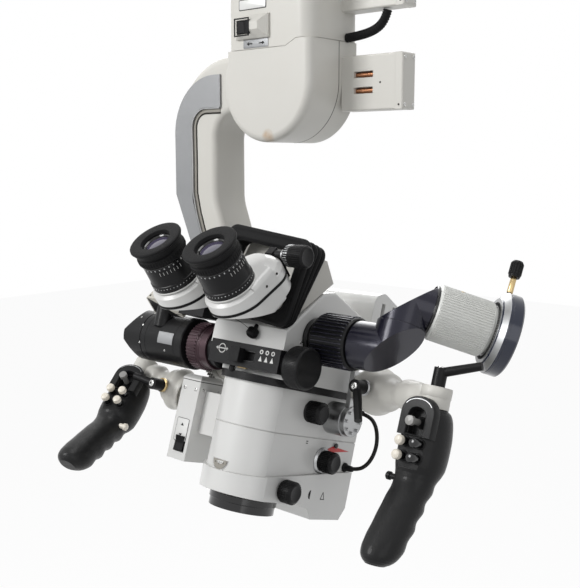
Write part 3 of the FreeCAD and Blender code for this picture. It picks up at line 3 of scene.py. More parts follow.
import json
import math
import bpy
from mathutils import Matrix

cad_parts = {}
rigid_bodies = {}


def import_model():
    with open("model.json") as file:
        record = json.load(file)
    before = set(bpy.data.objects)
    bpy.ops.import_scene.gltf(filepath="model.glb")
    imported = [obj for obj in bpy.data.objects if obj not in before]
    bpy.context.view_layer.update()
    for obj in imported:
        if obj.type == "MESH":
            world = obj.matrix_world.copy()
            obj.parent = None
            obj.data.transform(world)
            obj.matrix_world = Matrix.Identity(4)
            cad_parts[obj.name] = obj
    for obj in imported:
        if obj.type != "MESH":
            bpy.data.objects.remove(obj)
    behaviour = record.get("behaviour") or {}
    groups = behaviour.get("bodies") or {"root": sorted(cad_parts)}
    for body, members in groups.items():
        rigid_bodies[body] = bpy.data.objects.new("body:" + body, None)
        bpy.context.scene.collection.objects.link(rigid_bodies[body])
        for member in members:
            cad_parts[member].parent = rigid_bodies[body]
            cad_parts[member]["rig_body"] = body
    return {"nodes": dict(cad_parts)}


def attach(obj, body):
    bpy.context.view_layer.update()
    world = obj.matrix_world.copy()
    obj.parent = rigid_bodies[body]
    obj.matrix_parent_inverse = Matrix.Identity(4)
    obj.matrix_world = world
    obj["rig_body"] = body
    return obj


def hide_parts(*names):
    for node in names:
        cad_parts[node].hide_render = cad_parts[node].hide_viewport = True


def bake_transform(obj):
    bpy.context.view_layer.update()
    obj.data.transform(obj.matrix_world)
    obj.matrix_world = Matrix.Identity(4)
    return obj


bl_info = {
    "name": "Operating microscope looks",
    "version": (1, 0, 0),
    "blender": (4, 5, 0),
    "location": "3D Viewport > Sidebar > Microscope",
    "description": "Paints a packed operating microscope and adds its knurls, marks, folds and cables",
    "category": "Object",
}

from types import SimpleNamespace

import bmesh
import bpy
from bpy.props import FloatProperty, FloatVectorProperty, IntProperty, PointerProperty
from mathutils import Matrix, Vector

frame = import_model()

MM = 0.001


def shift(x=0, y=0, z=0):
    """A move along the three axes."""
    return Matrix.Translation((x, y, z))


def turn(angle, axis):
    """A turn about one axis, in degrees."""
    return Matrix.Rotation(math.radians(angle), 4, axis)


# Frames in millimetres, as the parts use them: the head, the arm's swing axis, and turns that lay local Z
# to the right, to the left and towards the front
HEAD = shift(0, -69, -552) @ turn(-18, "X")
HUB = shift(0, 0, -154)
ALONG_X = turn(90, "Y")
ALONG_LEFT = turn(-90, "Y")
FACING = turn(90, "X")
SIDE = Matrix(((0, 0, 1, 0), (1, 0, 0, 0), (0, 1, 0, 0), (0, 0, 0, 1)))
UNMOVED = Matrix.Identity(4)

# Centres of the two handle arms' eyes, in the head's frame, and how far a lever's top stands above its base
RIGHT_EYE, LEFT_EYE = (184, 1.7, 138), (-180, 2, 106)
LEVER_TOP = 16.3


# Measures shown in the sidebar
def length(name, millimetres, description):
    """A length given in millimetres and kept in metres."""
    return FloatProperty(name=name, description=description, default=millimetres * MM, min=0, unit="LENGTH")


def angle_of(name, degrees, description):
    """An angle given in degrees."""
    return FloatProperty(name=name, description=description, default=math.radians(degrees), subtype="ANGLE")


def count_of(name, number, description):
    """A number of equal pieces."""
    return IntProperty(name=name, description=description, default=number, min=1)


def measures(group):
    """The sizes of a group in millimetres and degrees, and its counts."""
    scale = {"LENGTH": 1 / MM, "ROTATION": 180 / math.pi}
    return SimpleNamespace(**{key: getattr(group, key) * scale.get(group.bl_rna.properties[key].unit, 1)
                              for key in group.__annotations__})


class BinocularMeasures(bpy.types.PropertyGroup):
    """Sizes of the two eyepieces and their housings"""
    spacing: length("Eye spacing", 68, "Distance between the two eyepieces")
    pitch: angle_of("Sight pitch", 38, "Slope of the line of sight below level")
    forward: length("Eyepiece forward", 147, "How far the eyepieces stand in front of the optical axis")
    rise: length("Eyepiece rise", 225, "Height of the eyepieces above the foot of the carrier")
    barrel: length("Barrel radius", 22, "Radius of an eyepiece's barrel")
    long: length("Eyepiece length", 45, "Length of an eyepiece with its cup")
    housing: length("Housing thickness", 38, "Thickness of an ocular housing along the line of sight")
    reach: length("Housing reach", 28, "Distance between the two axes in an ocular housing")
    housing_radius: length("Housing radius", 26, "Radius of an ocular housing's rounded ends")
    cup_ribs: count_of("Ribs on each cup", 54, "Number of ribs round an eyecup")
    marks: count_of("Marks on each barrel", 30, "Number of dots round an eyepiece's barrel")


class BellowsMeasures(bpy.types.PropertyGroup):
    """Sizes of the folded rubber bellows"""
    wide: length("Width", 109.4, "Outer width of the frame")
    high: length("Height", 83.9, "Outer height of the frame")
    roll: angle_of("Roll", 6.5, "Turn of the bellows about the line that leads out of them")
    lean: angle_of("Front lean", 2, "Backward lean of the front frame")
    fan: angle_of("Fan", 12, "Angle that the folds spread over")
    folds: count_of("Folds", 4, "Number of folds")
    border: length("Front border", 14.5, "Width of the front frame's border")


class CarrierMeasures(bpy.types.PropertyGroup):
    """Sizes of the optics carrier and its knobs"""
    side: length("Body half width", 37, "Half width of the upper body")
    base_side: length("Base half width", 40, "Half width of the lower body")
    nose: length("Nose radius", 41, "Radius of the round front")
    knob: length("Knob radius", 10, "Radius of the three knobs")
    knob_ribs: count_of("Ribs on each knob", 34, "Number of ribs round a knob")


class PortMeasures(bpy.types.PropertyGroup):
    """Sizes of the side port with its prisms and tube"""
    axis: length("Axis height", 172, "Height of the port's axis above the foot of the carrier")
    ring: length("Ring radius", 24, "Radius of the knurled ring")
    tube: length("Tube radius", 24.5, "Radius of the ribbed tube")
    tube_long: length("Tube length", 53, "Length of the ribbed tube")
    flange: length("Flange radius", 37.5, "Radius of the end ring")
    lean: angle_of("Prism lean", 10, "Backward lean of the second prism")
    swivel: angle_of("Prism swivel", 43, "Turn of the second prism about its own axis")
    prism: length("Prism radius", 22, "Radius of the prism housings")
    ribs: count_of("Ribs on the tube", 64, "Number of ribs round the tube")


class CameraMeasures(bpy.types.PropertyGroup):
    """Sizes of the camera adapter"""
    axis: length("Axis height", 144.5, "Height of the adapter's axis above the foot of the carrier")
    forward: length("Axis forward", 18, "How far the axis lies in front of the optical axis")
    radius: length("Body radius", 26, "Radius of the adapter's body")
    ring: length("Ring radius", 23, "Radius of the focus ring")
    ribs: count_of("Ribs on the ring", 42, "Number of ribs round the focus ring")


class GripMeasures(bpy.types.PropertyGroup):
    """Sizes of the hand grips"""
    half: length("Grip half width", 19, "Half width that the grip's profile is a share of")
    drop: length("Grip drop", 16.3, "How far the left grip hangs below its arm's eye")
    drop_right: length("Right grip drop", 8.3, "How far the right grip hangs below its arm's eye")
    eye_rise: length("Arm eye rise", 10, "How far the arm's eye stands above its centre")
    button: length("Button radius", 3.8, "Radius of a button's head")
    panel: length("Panel depth", 20.5, "How far the control panel stands in front of the grip's axis")
    key_side: length("Key side", 7, "How far each key stands beside the middle")
    key_drop: length("Key drop", 31, "How far the upper keys stand below the grip's upper end")
    key_step: length("Key step", 12, "Distance between the two rows of keys")
    stick_set: length("Joystick set", 13, "How far the joystick's pivot stands in front of the grip's axis")
    stick_drop: length("Joystick drop", 14,
                       "How far the joystick's pivot stands below the grip's upper end")


class ArmMeasures(bpy.types.PropertyGroup):
    """Sizes of the swing arm and the housing above it"""
    front: length("Front face", 9, "How far the arm's face stands in front of its swing axis")
    lobe: length("Lobe radius", 54, "Radius of the housing's round lower end")
    depth: length("Housing half depth", 34, "Half depth of the housing")


# Small mesh tools
def publish(name, mesh, body, finish, angle=35):
    """A finished mesh as a piece of the object, on its body and in its colour slot."""
    obj = bpy.data.objects.new(name, mesh)
    bpy.context.scene.collection.objects.link(obj)
    mesh.materials.clear()
    mesh.materials.append(FINISHES[finish])
    mesh.shade_smooth()
    mesh.set_sharp_from_angle(angle=math.radians(angle))
    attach(obj, body)
    return obj


def to_mesh(name, bm, place=None):
    """A closed mesh from its parts; a place also brings it from millimetres to metres."""
    bmesh.ops.recalc_face_normals(bm, faces=bm.faces)
    mesh = bpy.data.meshes.new(name)
    bm.to_mesh(mesh)
    bm.free()
    if place is not None:
        mesh.transform(Matrix.Scale(MM, 4) @ place)
    return mesh


def piece(name, bm, place, body, finish, angle=35):
    """One mesh at its place on a body."""
    return publish(name, to_mesh(name, bm, place), body, finish, angle)


def cluster(name, parts, body, finish, place=UNMOVED):
    """Several small meshes, each with its own place, as one piece."""
    whole = bmesh.new()
    for bm, own in parts:
        bmesh.ops.transform(bm, matrix=own, verts=bm.verts)
        held = bpy.data.meshes.new("held")
        bm.to_mesh(held)
        bm.free()
        whole.from_mesh(held)
        bpy.data.meshes.remove(held)
    return piece(name, whole, place, body, finish)


def skin(rings, ends=(True, True), closed=False):
    """A surface through rings of equally many points; its ends are capped, or meet when it is closed."""
    bm = bmesh.new()
    rows = [[bm.verts.new(point) for point in ring] for ring in rings]
    count = len(rows[0])
    for lower, upper in zip(rows, rows[1:] + rows[:1] if closed else rows[1:]):
        for n in range(count):
            bm.faces.new((lower[n], lower[(n + 1) % count], upper[(n + 1) % count], upper[n]))
    if not closed:
        for row, capped in zip((rows[0], rows[-1]), ends):
            if capped:
                bm.faces.new(row)
    return bm


def lathe(profile, steps=96, closed=False, start=0, sweep=360):
    """A profile of (radius, height) points turned about the local Z axis."""
    bm = bmesh.new()
    verts = [bm.verts.new((radius, 0, height)) for radius, height in profile]
    edges = [bm.edges.new(pair) for pair in zip(verts, verts[1:])]
    if closed:
        edges.append(bm.edges.new((verts[-1], verts[0])))
    if start:
        bmesh.ops.rotate(bm, cent=(0, 0, 0), matrix=Matrix.Rotation(math.radians(start), 3, "Z"),
                         verts=verts)
    bmesh.ops.spin(bm, geom=verts + edges, cent=(0, 0, 0), axis=(0, 0, 1), angle=math.radians(sweep),
                   steps=steps)
    bmesh.ops.remove_doubles(bm, verts=bm.verts, dist=0.002)
    if closed and sweep < 360:
        bmesh.ops.holes_fill(bm, edges=[edge for edge in bm.edges if edge.is_boundary])
    return bm


def slab(points, thick, bevel=0.2):
    """An outline raised along local Z, its upper edges eased."""
    bm = bmesh.new()
    face = bm.faces.new([bm.verts.new((x, y, 0)) for x, y in points])
    made = bmesh.ops.extrude_face_region(bm, geom=[face], use_keep_orig=True)["geom"]
    top = [item for item in made if isinstance(item, bmesh.types.BMVert)]
    bmesh.ops.translate(bm, vec=(0, 0, thick), verts=top)
    if bevel:
        edges = [edge for edge in bm.edges if all(vert in top for vert in edge.verts)]
        bmesh.ops.bevel(bm, geom=edges, offset=bevel, segments=2, profile=0.6, affect="EDGES")
    return bm


def bar(low, high, bevel=0.2):
    """A box between two corners, its upper edges eased."""
    bm = slab([(low[0], low[1]), (high[0], low[1]), (high[0], high[1]), (low[0], high[1])],
              high[2] - low[2], bevel)
    bmesh.ops.translate(bm, vec=(0, 0, low[2]), verts=bm.verts)
    return bm


def rounded(wide, high, corner, steps=6):
    """The outline of a rectangle with round corners."""
    points = []
    for number, (x, y) in enumerate(((1, 1), (-1, 1), (-1, -1), (1, -1))):
        for step in range(steps + 1):
            angle = math.radians(90 * number + 90 * step / steps)
            points.append((x * (wide / 2 - corner) + corner * math.cos(angle),
                           y * (high / 2 - corner) + corner * math.sin(angle)))
    return points


def screw(radius, high=1.2):
    """A cap screw head with a recessed socket."""
    sides, socket = 32, radius * 0.52

    def ring(size, z):
        return [(size * math.cos(2 * math.pi * n / sides), size * math.sin(2 * math.pi * n / sides), z)
                for n in range(sides)]
    return skin([ring(radius, 0), ring(radius, high * 0.75), ring(radius * 0.88, high), ring(socket, high),
                 ring(socket * 0.96, high * 0.25)], ends=(False, True))


def route(points, resolution=8):
    """The smooth line that a cable follows through its points, read from its own spline."""
    data = cable_curve("route_line", points, 0)
    data.resolution_u = resolution
    obj = bpy.data.objects.new("route_line", data)
    bpy.context.scene.collection.objects.link(obj)
    bpy.context.view_layer.update()
    mesh = bpy.data.meshes.new_from_object(obj.evaluated_get(bpy.context.evaluated_depsgraph_get()))
    line = [vert.co.copy() for vert in mesh.vertices]
    bpy.data.objects.remove(obj)
    bpy.data.curves.remove(data)
    bpy.data.meshes.remove(mesh)
    return line


def cable_curve(name, points, radius):
    """A smooth open curve that a cable's points lead, with a round section."""
    data = bpy.data.curves.new(name, "CURVE")
    data.dimensions = "3D"
    spline = data.splines.new("NURBS")
    spline.points.add(len(points) - 1)
    for spot, point in zip(spline.points, points):
        spot.co = (*point, 1)
    spline.order_u = 3
    spline.use_endpoint_u = True
    data.resolution_u = 16
    data.bevel_depth = radius
    data.bevel_resolution = 6
    data.use_fill_caps = True
    return data


def along(line, profile, sides=24):
    """A round tube whose radius follows a profile of (share, radius) steps along a line."""
    rings, normal, lengths = [], None, [0]
    for a, b in zip(line, line[1:]):
        lengths.append(lengths[-1] + (b - a).length)
    for share, radius in profile:
        goal = share * lengths[-1]
        number = max(index for index, so_far in enumerate(lengths[:-1]) if so_far <= goal + 1e-9)
        span = lengths[number + 1] - lengths[number]
        spot = line[number].lerp(line[number + 1], (goal - lengths[number]) / span)
        before, after = max(number - 1, 0), min(number + 2, len(line) - 1)
        tangent = (line[after] - line[before]).normalized()
        normal = tangent.orthogonal() if normal is None else normal - tangent * normal.dot(tangent)
        normal.normalize()
        across = tangent.cross(normal)
        rings.append([spot + (normal * math.cos(angle) + across * math.sin(angle)) * radius
                      for angle in (2 * math.pi * n / sides for n in range(sides))])
    return skin(rings)


# Repeats as a node tree: one unit copied in equal turns and shifts
def repeat_tree():
    """The node tree: a line of points, the unit placed and turned on each, made real and given its finish."""
    tree = bpy.data.node_groups.new("EqualRepeat", "GeometryNodeTree")
    face = tree.interface
    face.new_socket("Geometry", in_out="OUTPUT", socket_type="NodeSocketGeometry")
    for name, kind in (("Geometry", "Geometry"), ("Unit", "Object"), ("Count", "Int"), ("Turn", "Float"),
                       ("Start", "Float"), ("Shift", "Vector"), ("Finish", "Material")):
        face.new_socket(name, in_out="INPUT", socket_type="NodeSocket" + kind)
    nodes = tree.nodes
    given = nodes.new("NodeGroupInput")
    result = nodes.new("NodeGroupOutput")
    line = nodes.new("GeometryNodeMeshLine")
    line.mode, line.count_mode = "OFFSET", "TOTAL"
    unit = nodes.new("GeometryNodeObjectInfo")
    index = nodes.new("GeometryNodeInputIndex")
    product = nodes.new("ShaderNodeMath")
    product.operation = "MULTIPLY_ADD"
    euler = nodes.new("ShaderNodeCombineXYZ")
    rotation = nodes.new("FunctionNodeEulerToRotation")
    place = nodes.new("GeometryNodeInstanceOnPoints")
    solid = nodes.new("GeometryNodeRealizeInstances")
    finish = nodes.new("GeometryNodeSetMaterial")
    for source, output, target, entry in ((given, "Count", line, "Count"), (given, "Shift", line, "Offset"),
                                          (given, "Unit", unit, "Object"), (index, 0, product, 0),
                                          (given, "Turn", product, 1), (given, "Start", product, 2),
                                          (product, 0, euler, "Z"), (euler, 0, rotation, 0),
                                          (line, "Mesh", place, "Points"),
                                          (unit, "Geometry", place, "Instance"),
                                          (rotation, 0, place, "Rotation"), (place, 0, solid, 0),
                                          (solid, 0, finish, "Geometry"),
                                          (given, "Finish", finish, "Material"), (finish, 0, result, 0)):
        tree.links.new(source.outputs[output], target.inputs[entry])
    return tree


def repeat(name, bm, count, place, body, finish, step=None, start=0, shift_by=(0, 0, 0), angle=35):
    """Copies one unit round the local Z axis or along a line, and keeps the result as a plain mesh."""
    step = 360 / count if step is None else step
    unit = bpy.data.objects.new(name + "_unit", to_mesh(name + "_unit", bm))
    host = bpy.data.objects.new(name + "_host", bpy.data.meshes.new(name + "_host"))
    for obj in (unit, host):
        bpy.context.scene.collection.objects.link(obj)
    tree = bpy.data.node_groups.get("EqualRepeat") or repeat_tree()
    modifier = host.modifiers.new("Repeat", "NODES")
    modifier.node_group = tree
    values = {"Unit": unit, "Count": count, "Turn": math.radians(step), "Start": math.radians(start),
              "Shift": shift_by, "Finish": FINISHES[finish]}
    for item in tree.interface.items_tree:
        if item.in_out == "INPUT" and item.name in values:
            modifier[item.identifier] = values[item.name]
    bpy.context.view_layer.update()
    mesh = bpy.data.meshes.new_from_object(host.evaluated_get(bpy.context.evaluated_depsgraph_get()))
    for obj in (host, unit):
        data = obj.data
        bpy.data.objects.remove(obj)
        bpy.data.meshes.remove(data)
    mesh.name = name
    mesh.transform(Matrix.Scale(MM, 4) @ place)
    return publish(name, mesh, body, finish, angle)


# Shader groups that give only masks, values and normals
def shader_group(name, inputs, outputs):
    """An empty shader group with its named inputs and outputs."""
    tree = bpy.data.node_groups.new(name, "ShaderNodeTree")
    for label, default in inputs:
        kind = "NodeSocketVector" if label == "Normal" else "NodeSocketFloat"
        socket = tree.interface.new_socket(label, in_out="INPUT", socket_type=kind)
        if kind == "NodeSocketFloat":
            socket.default_value = default
        else:
            socket.hide_value = True
    for label in outputs:
        kind = "NodeSocketVector" if label == "Normal" else "NodeSocketFloat"
        tree.interface.new_socket(label, in_out="OUTPUT", socket_type=kind)
    return tree, tree.nodes.new("NodeGroupInput"), tree.nodes.new("NodeGroupOutput")


def math_node(tree, operation, first, second, clamp=False):
    """The result of a sum on numbers or other nodes' values."""
    node = tree.nodes.new("ShaderNodeMath")
    node.operation, node.use_clamp = operation, clamp
    for socket, value in zip(node.inputs, (first, second)):
        if isinstance(value, (int, float)):
            socket.default_value = value
        else:
            tree.links.new(value, socket)
    return node.outputs[0]


def noise_node(tree, scale, detail=3, stretch=None):
    """Noise that lies fast on the piece, drawn out along an axis where it is stretched."""
    place = tree.nodes.new("ShaderNodeTexCoord").outputs["Object"]
    if stretch is not None:
        mapping = tree.nodes.new("ShaderNodeMapping")
        mapping.inputs["Scale"].default_value = stretch
        tree.links.new(place, mapping.inputs["Vector"])
        place = mapping.outputs[0]
    node = tree.nodes.new("ShaderNodeTexNoise")
    node.inputs["Detail"].default_value = detail
    tree.links.new(place, node.inputs["Vector"])
    if isinstance(scale, (int, float)):
        node.inputs["Scale"].default_value = scale
    else:
        tree.links.new(scale, node.inputs["Scale"])
    return node.outputs[0]


def edge_wear_group():
    """Mask of convex edges broken up by noise, and a normal that rounds them."""
    tree, given, result = shader_group("EdgeWear", (("Width", 0.0008), ("Scale", 60.0)), ("Mask", "Normal"))
    bevel = tree.nodes.new("ShaderNodeBevel")
    bevel.samples = 3
    tree.links.new(given.outputs["Width"], bevel.inputs["Radius"])
    plain = tree.nodes.new("ShaderNodeNewGeometry")
    facing = tree.nodes.new("ShaderNodeVectorMath")
    facing.operation = "DOT_PRODUCT"
    tree.links.new(bevel.outputs[0], facing.inputs[0])
    tree.links.new(plain.outputs["Normal"], facing.inputs[1])
    edge = math_node(tree, "MULTIPLY", math_node(tree, "SUBTRACT", 1.0, facing.outputs["Value"]), 7.0, True)
    broken = math_node(tree, "MULTIPLY",
                       math_node(tree, "SUBTRACT", noise_node(tree, given.outputs["Scale"], 5), 0.46), 6.0,
                       True)
    tree.links.new(math_node(tree, "MULTIPLY", edge, broken, True), result.inputs["Mask"])
    tree.links.new(bevel.outputs[0], result.inputs["Normal"])
    return tree


def grain_group():
    """Fine surface relief as a normal."""
    tree, given, result = shader_group("FineGrain",
                                       (("Scale", 900.0), ("Strength", 0.05), ("Normal", None)),
                                       ("Normal", "Value"))
    value = noise_node(tree, given.outputs["Scale"], 2)
    bump = tree.nodes.new("ShaderNodeBump")
    bump.inputs["Distance"].default_value = 0.0004
    tree.links.new(given.outputs["Strength"], bump.inputs["Strength"])
    tree.links.new(value, bump.inputs["Height"])
    tree.links.new(given.outputs["Normal"], bump.inputs["Normal"])
    tree.links.new(bump.outputs[0], result.inputs["Normal"])
    tree.links.new(value, result.inputs["Value"])
    return tree


def mottle_group():
    """Slow variation of tone, and dust that gathers on upward faces."""
    tree, given, result = shader_group("Mottle", (("Scale", 14.0),), ("Value", "Dust"))
    slow = noise_node(tree, given.outputs["Scale"], 4)
    tree.links.new(math_node(tree, "MULTIPLY", math_node(tree, "SUBTRACT", slow, 0.1), 1.2, True),
                   result.inputs["Value"])
    plain = tree.nodes.new("ShaderNodeNewGeometry")
    parts = tree.nodes.new("ShaderNodeSeparateXYZ")
    tree.links.new(plain.outputs["Normal"], parts.inputs[0])
    up = math_node(tree, "SUBTRACT", parts.outputs["Z"], 0.55)
    speck = math_node(tree, "MULTIPLY", noise_node(tree, 420.0, 4), 1.6)
    tree.links.new(math_node(tree, "MULTIPLY", math_node(tree, "MULTIPLY", up, 2.0, True), speck, True),
                   result.inputs["Dust"])
    return tree


FINISHES = {}
# For each finish: base, second tone, roughness, metallic, coat, edge tone, edge strength, grain scale,
# grain strength, and how a brushed tone is drawn out along the axes
RECIPES = {
    "cream": ((.60, .588, .548), (.56, .545, .50), .46, 0, .12, (.40, .37, .31), .4, 1400, .05, None),
    "cover": ((.61, .598, .56), (.57, .555, .51), .42, 0, .18, (.42, .36, .28), .5, 1400, .05, None),
    "pearl": ((.68, .68, .665), (.635, .632, .615), .30, 0, .25, (.46, .45, .42), .35, 1600, .035, None),
    "rib_white": ((.66, .665, .64), (.58, .585, .555), .38, 0, .1, (.5, .5, .46), .25, 1500, .04, None),
    "box_cream": ((.52, .50, .445), (.46, .44, .385), .50, 0, .05, (.30, .28, .23), .4, 1100, .08, None),
    "satin": ((.44, .445, .45), (.37, .375, .38), .32, 1, 0, (.72, .72, .72), .5, 900, .04, (30, 30, 900)),
    "inlay": ((.28, .284, .29), (.235, .24, .246), .42, .5, 0, (.6, .6, .6), .5, 2200, .10, None),
    "steel": ((.56, .56, .55), (.44, .44, .43), .24, 1, 0, (.8, .8, .78), .5, 900, .03, (500, 20, 20)),
    "copper": ((.62, .31, .17), (.30, .13, .07), .38, 1, 0, (.8, .5, .3), .4, 900, .05, (900, 40, 40)),
    "brass": ((.60, .46, .24), (.42, .31, .15), .3, 1, 0, (.8, .7, .5), .4, 900, .04, None),
    "black": ((.0065, .0065, .007), (.011, .011, .012), .36, 0, .12, (.10, .10, .10), .4, 1800, .07, None),
    "gloss_black": ((.004, .004, .0045), (.007, .007, .008), .12, 0, .5, (.09, .09, .09),
                    .3, 1500, .02, None),
    "plastic": ((.0055, .0055, .006), (.010, .010, .0105), .42, 0, .05, (.08, .08, .08),
                .35, 1500, .10, None),
    "rubber": ((.0075, .0075, .008), (.013, .013, .0135), .58, 0, 0, (.07, .07, .07), .4, 2000, .16, None),
    "grip": ((.0065, .0068, .0072), (.013, .013, .0135), .38, 0, .10, (.085, .085, .085),
             .55, 1700, .13, None),
    "plum": ((.040, .021, .027), (.066, .037, .045), .34, .5, .15, (.34, .28, .29), .6, 1500, .05, None),
    "blue": ((.0035, .0065, .021), (.006, .011, .032), .12, .1, .6, (.08, .09, .13), .3, 1400, .02, None),
    "violet": ((.0095, .0095, .019), (.017, .016, .029), .22, .3, .3, (.18, .18, .22), .4, 1500, .04, None),
    # lens: dark glass; its green and violet tones are partly a painted reflection of the coating
    "lens": ((.020, .034, .030), (.034, .026, .044), .03, 0, 1, (.1, .1, .1), 0, 900, 0, None),
    "stick": ((.27, .265, .25), (.20, .197, .19), .36, 0, .15, (.4, .4, .4), .3, 1500, .05, None),
    "button": ((.74, .70, .62), (.66, .61, .52), .38, 0, .2, (.4, .36, .3), .3, 1500, .05, None),
    "mark": ((.74, .74, .72), (.6, .6, .58), .5, 0, 0, (.3, .3, .3), .2, 1600, .05, None),
    "ink": ((.012, .012, .013), (.02, .02, .02), .5, 0, 0, (.1, .1, .1), .2, 1600, .05, None),
    # seam: dark seams and holes; on the arm it also draws a painted shadow line
    "seam": ((.020, .019, .017), (.045, .042, .038), .7, 0, 0, (.1, .1, .1), 0, 1200, .1, None),
    "red": ((.62, .020, .018), (.50, .016, .014), .38, 0, .2, (.7, .4, .38), .2, 1500, .04, None),
    # groove: a darker copy of the cream paint; on the arm it is painted shade along the inlay's step, and it
    # also covers the scale window's face
    "groove": ((.30, .285, .25), (.24, .225, .195), .5, 0, 0, (.5, .5, .45), .3, 1300, .08, None),
    "hose": ((.010, .0097, .0093), (.020, .019, .018), .45, 0, .05, (.1, .1, .1), .3, 1500, .14, None),
}


def tint(name, key, description):
    """A colour that the sidebar shows, with its finish's own as default."""
    return FloatVectorProperty(name=name, description=description, default=RECIPES[key][0], size=3, min=0,
                               max=1, subtype="COLOR")


class PaintColours(bpy.types.PropertyGroup):
    """Main colours of the paints, metals and rubbers"""
    cream: tint("Cream paint", "cream", "Housing, swing arm and handle arms")
    pearl: tint("White paint", "pearl", "Optics carrier, beam splitter and ocular housings")
    box_cream: tint("Camera cream", "box_cream", "Case of the small camera")
    black: tint("Black coating", "black", "Eyepieces, selector bar and camera adapter")
    grip: tint("Grip rubber", "grip", "The two hand grips")
    rubber: tint("Soft rubber", "rubber", "Bellows and eyecups")
    plum: tint("Focus ring", "plum", "Knurled ring of the camera adapter")
    blue: tint("End ring", "blue", "Ring at the end of the side port")
    violet: tint("Prism coating", "violet", "The two prism housings")


DUST = (.42, .40, .37)
DUST_ON_METAL, DUST_ON_DARK, DUST_ON_PALE = 0.0, 0.012, 0.06
RUST = (.42, .26, .12)
# Worn spot at the cover's lower edge, in metres
RUST_SPOT, RUST_REACH = (0.004, -0.034, -0.203), 0.008
# Strength of the reflections of the dark finishes, under the usual 0.5
SHINE = {"black": 0.12, "plastic": 0.12, "rubber": 0.10, "grip": 0.14, "ink": 0.1, "seam": 0.05,
         "hose": 0.12, "gloss_black": 0.3, "violet": 0.25, "blue": 0.3, "plum": 0.25}


def make_finish(name, recipe, groups):
    """One material: its two tones, worn edges, dust, fine grain and uneven gloss."""
    base, second, rough, metallic, coat, edge, edge_strength, scale, strength, stretch = recipe
    material = bpy.data.materials.new("finish_" + name)
    material.use_nodes = True
    material.diffuse_color = (*base, 1)
    tree = material.node_tree
    shader = tree.nodes["Principled BSDF"]
    shader.inputs["Metallic"].default_value = metallic
    shader.inputs["Coat Weight"].default_value = coat
    shader.inputs["Coat Roughness"].default_value = 0.12
    shader.inputs["Specular IOR Level"].default_value = SHINE.get(name, 0.5)
    if name in ("rubber", "grip"):
        shader.inputs["Sheen Weight"].default_value = 0.04
        shader.inputs["Sheen Roughness"].default_value = 0.4
    made = {}
    for key, group in groups.items():
        node = tree.nodes.new("ShaderNodeGroup")
        node.node_tree = group
        made[key] = node
    made["grain"].inputs["Scale"].default_value = scale
    made["grain"].inputs["Strength"].default_value = strength * 4
    made["wear"].inputs["Width"].default_value = 0.0007
    tree.links.new(made["wear"].outputs["Normal"], made["grain"].inputs["Normal"])
    tree.links.new(made["grain"].outputs["Normal"], shader.inputs["Normal"])

    def blend(factor, first, other):
        node = tree.nodes.new("ShaderNodeMix")
        node.data_type = "RGBA"
        tree.links.new(factor, node.inputs["Factor"])
        for socket, value in ((node.inputs[6], first), (node.inputs[7], other)):
            if isinstance(value, tuple):
                socket.default_value = (*value, 1)
            else:
                tree.links.new(value, socket)
        return node.outputs[2]

    tone = made["mottle"].outputs["Value"]
    if stretch is not None:
        tone = math_node(tree, "MULTIPLY", math_node(tree, "ADD", tone, noise_node(tree, 1.0, 2, stretch)),
                         0.6, True)
    colour = blend(tone, base, second)
    # The lens finish turns violet where it is seen edge-on: a painted reflection of its coating.
    if name == "lens":
        rim = tree.nodes.new("ShaderNodeLayerWeight")
        rim.inputs["Blend"].default_value = 0.4
        colour = blend(rim.outputs["Facing"], colour, (.10, .08, .15))
    if name == "cover":
        spot = tree.nodes.new("ShaderNodeVectorMath")
        spot.operation = "DISTANCE"
        tree.links.new(tree.nodes.new("ShaderNodeTexCoord").outputs["Object"], spot.inputs[0])
        spot.inputs[1].default_value = RUST_SPOT
        near = math_node(tree, "MULTIPLY", math_node(tree, "SUBTRACT", RUST_REACH, spot.outputs["Value"]),
                         160.0, True)
        worn = math_node(tree, "MULTIPLY", near,
                         math_node(tree, "MULTIPLY", noise_node(tree, 160.0, 4), 1.5), True)
        colour = blend(worn, colour, RUST)
    if edge_strength:
        worn = math_node(tree, "MULTIPLY", made["wear"].outputs["Mask"], edge_strength, True)
        colour = blend(worn, colour, edge)
    dusty = DUST_ON_METAL if metallic or name == "lens" else DUST_ON_DARK if max(base) < 0.1 else DUST_ON_PALE
    dust = math_node(tree, "MULTIPLY", made["mottle"].outputs["Dust"], dusty)
    colour = blend(dust, colour, DUST)
    tree.links.new(colour, shader.inputs["Base Color"])
    uneven = math_node(tree, "MULTIPLY_ADD", tone, 0.12)
    uneven.node.inputs[2].default_value = max(rough - 0.05, 0.02)
    tree.links.new(uneven, shader.inputs["Roughness"])
    return material


def make_finishes(colours):
    """All materials, with the sidebar's colours where it has them."""
    groups = {"wear": edge_wear_group(), "grain": grain_group(), "mottle": mottle_group()}
    for name, recipe in RECIPES.items():
        if name in colours.__annotations__:
            recipe = (tuple(getattr(colours, name)), *recipe[1:])
        FINISHES[name] = make_finish(name, recipe, groups)


NODES_OF_FINISH = {
    "cream": ("top_casting", "rear_shell", "side_boxes", "swing_arm", "binocular_base"),
    "cover": ("front_cover",),
    "pearl": ("carrier_base", "carrier_body", "drive_box", "head_bracket", "beam_splitter", "lamp_housing"),
    "box_cream": ("camera_box",),
    "rib_white": ("ribbed_tube",),
    "inlay": ("arm_inlay",),
    "satin": ("handle_bracket",),
    "steel": ("swing_axle", "tilt_wheel"),
    "black": ("dovetail_ring", "selector_bar", "camera_adapter", "base_flange", "port_ring", "ocular_yoke"),
    "gloss_black": ("objective_ring",),
    "plastic": ("balance_rocker", "drive_rocker", "selector_slider", "magnification_knob", "focus_knob",
                "aperture_knob", "thumb_screw", "ipd_knob"),
    "rubber": ("bellows", "conduit"),
    "hose": ("rear_lead",),
    "plum": ("focus_ring",),
    "violet": ("lower_prism", "upper_prism"),
    "blue": ("end_ring",),
    "lens": ("objective_lens",),
}
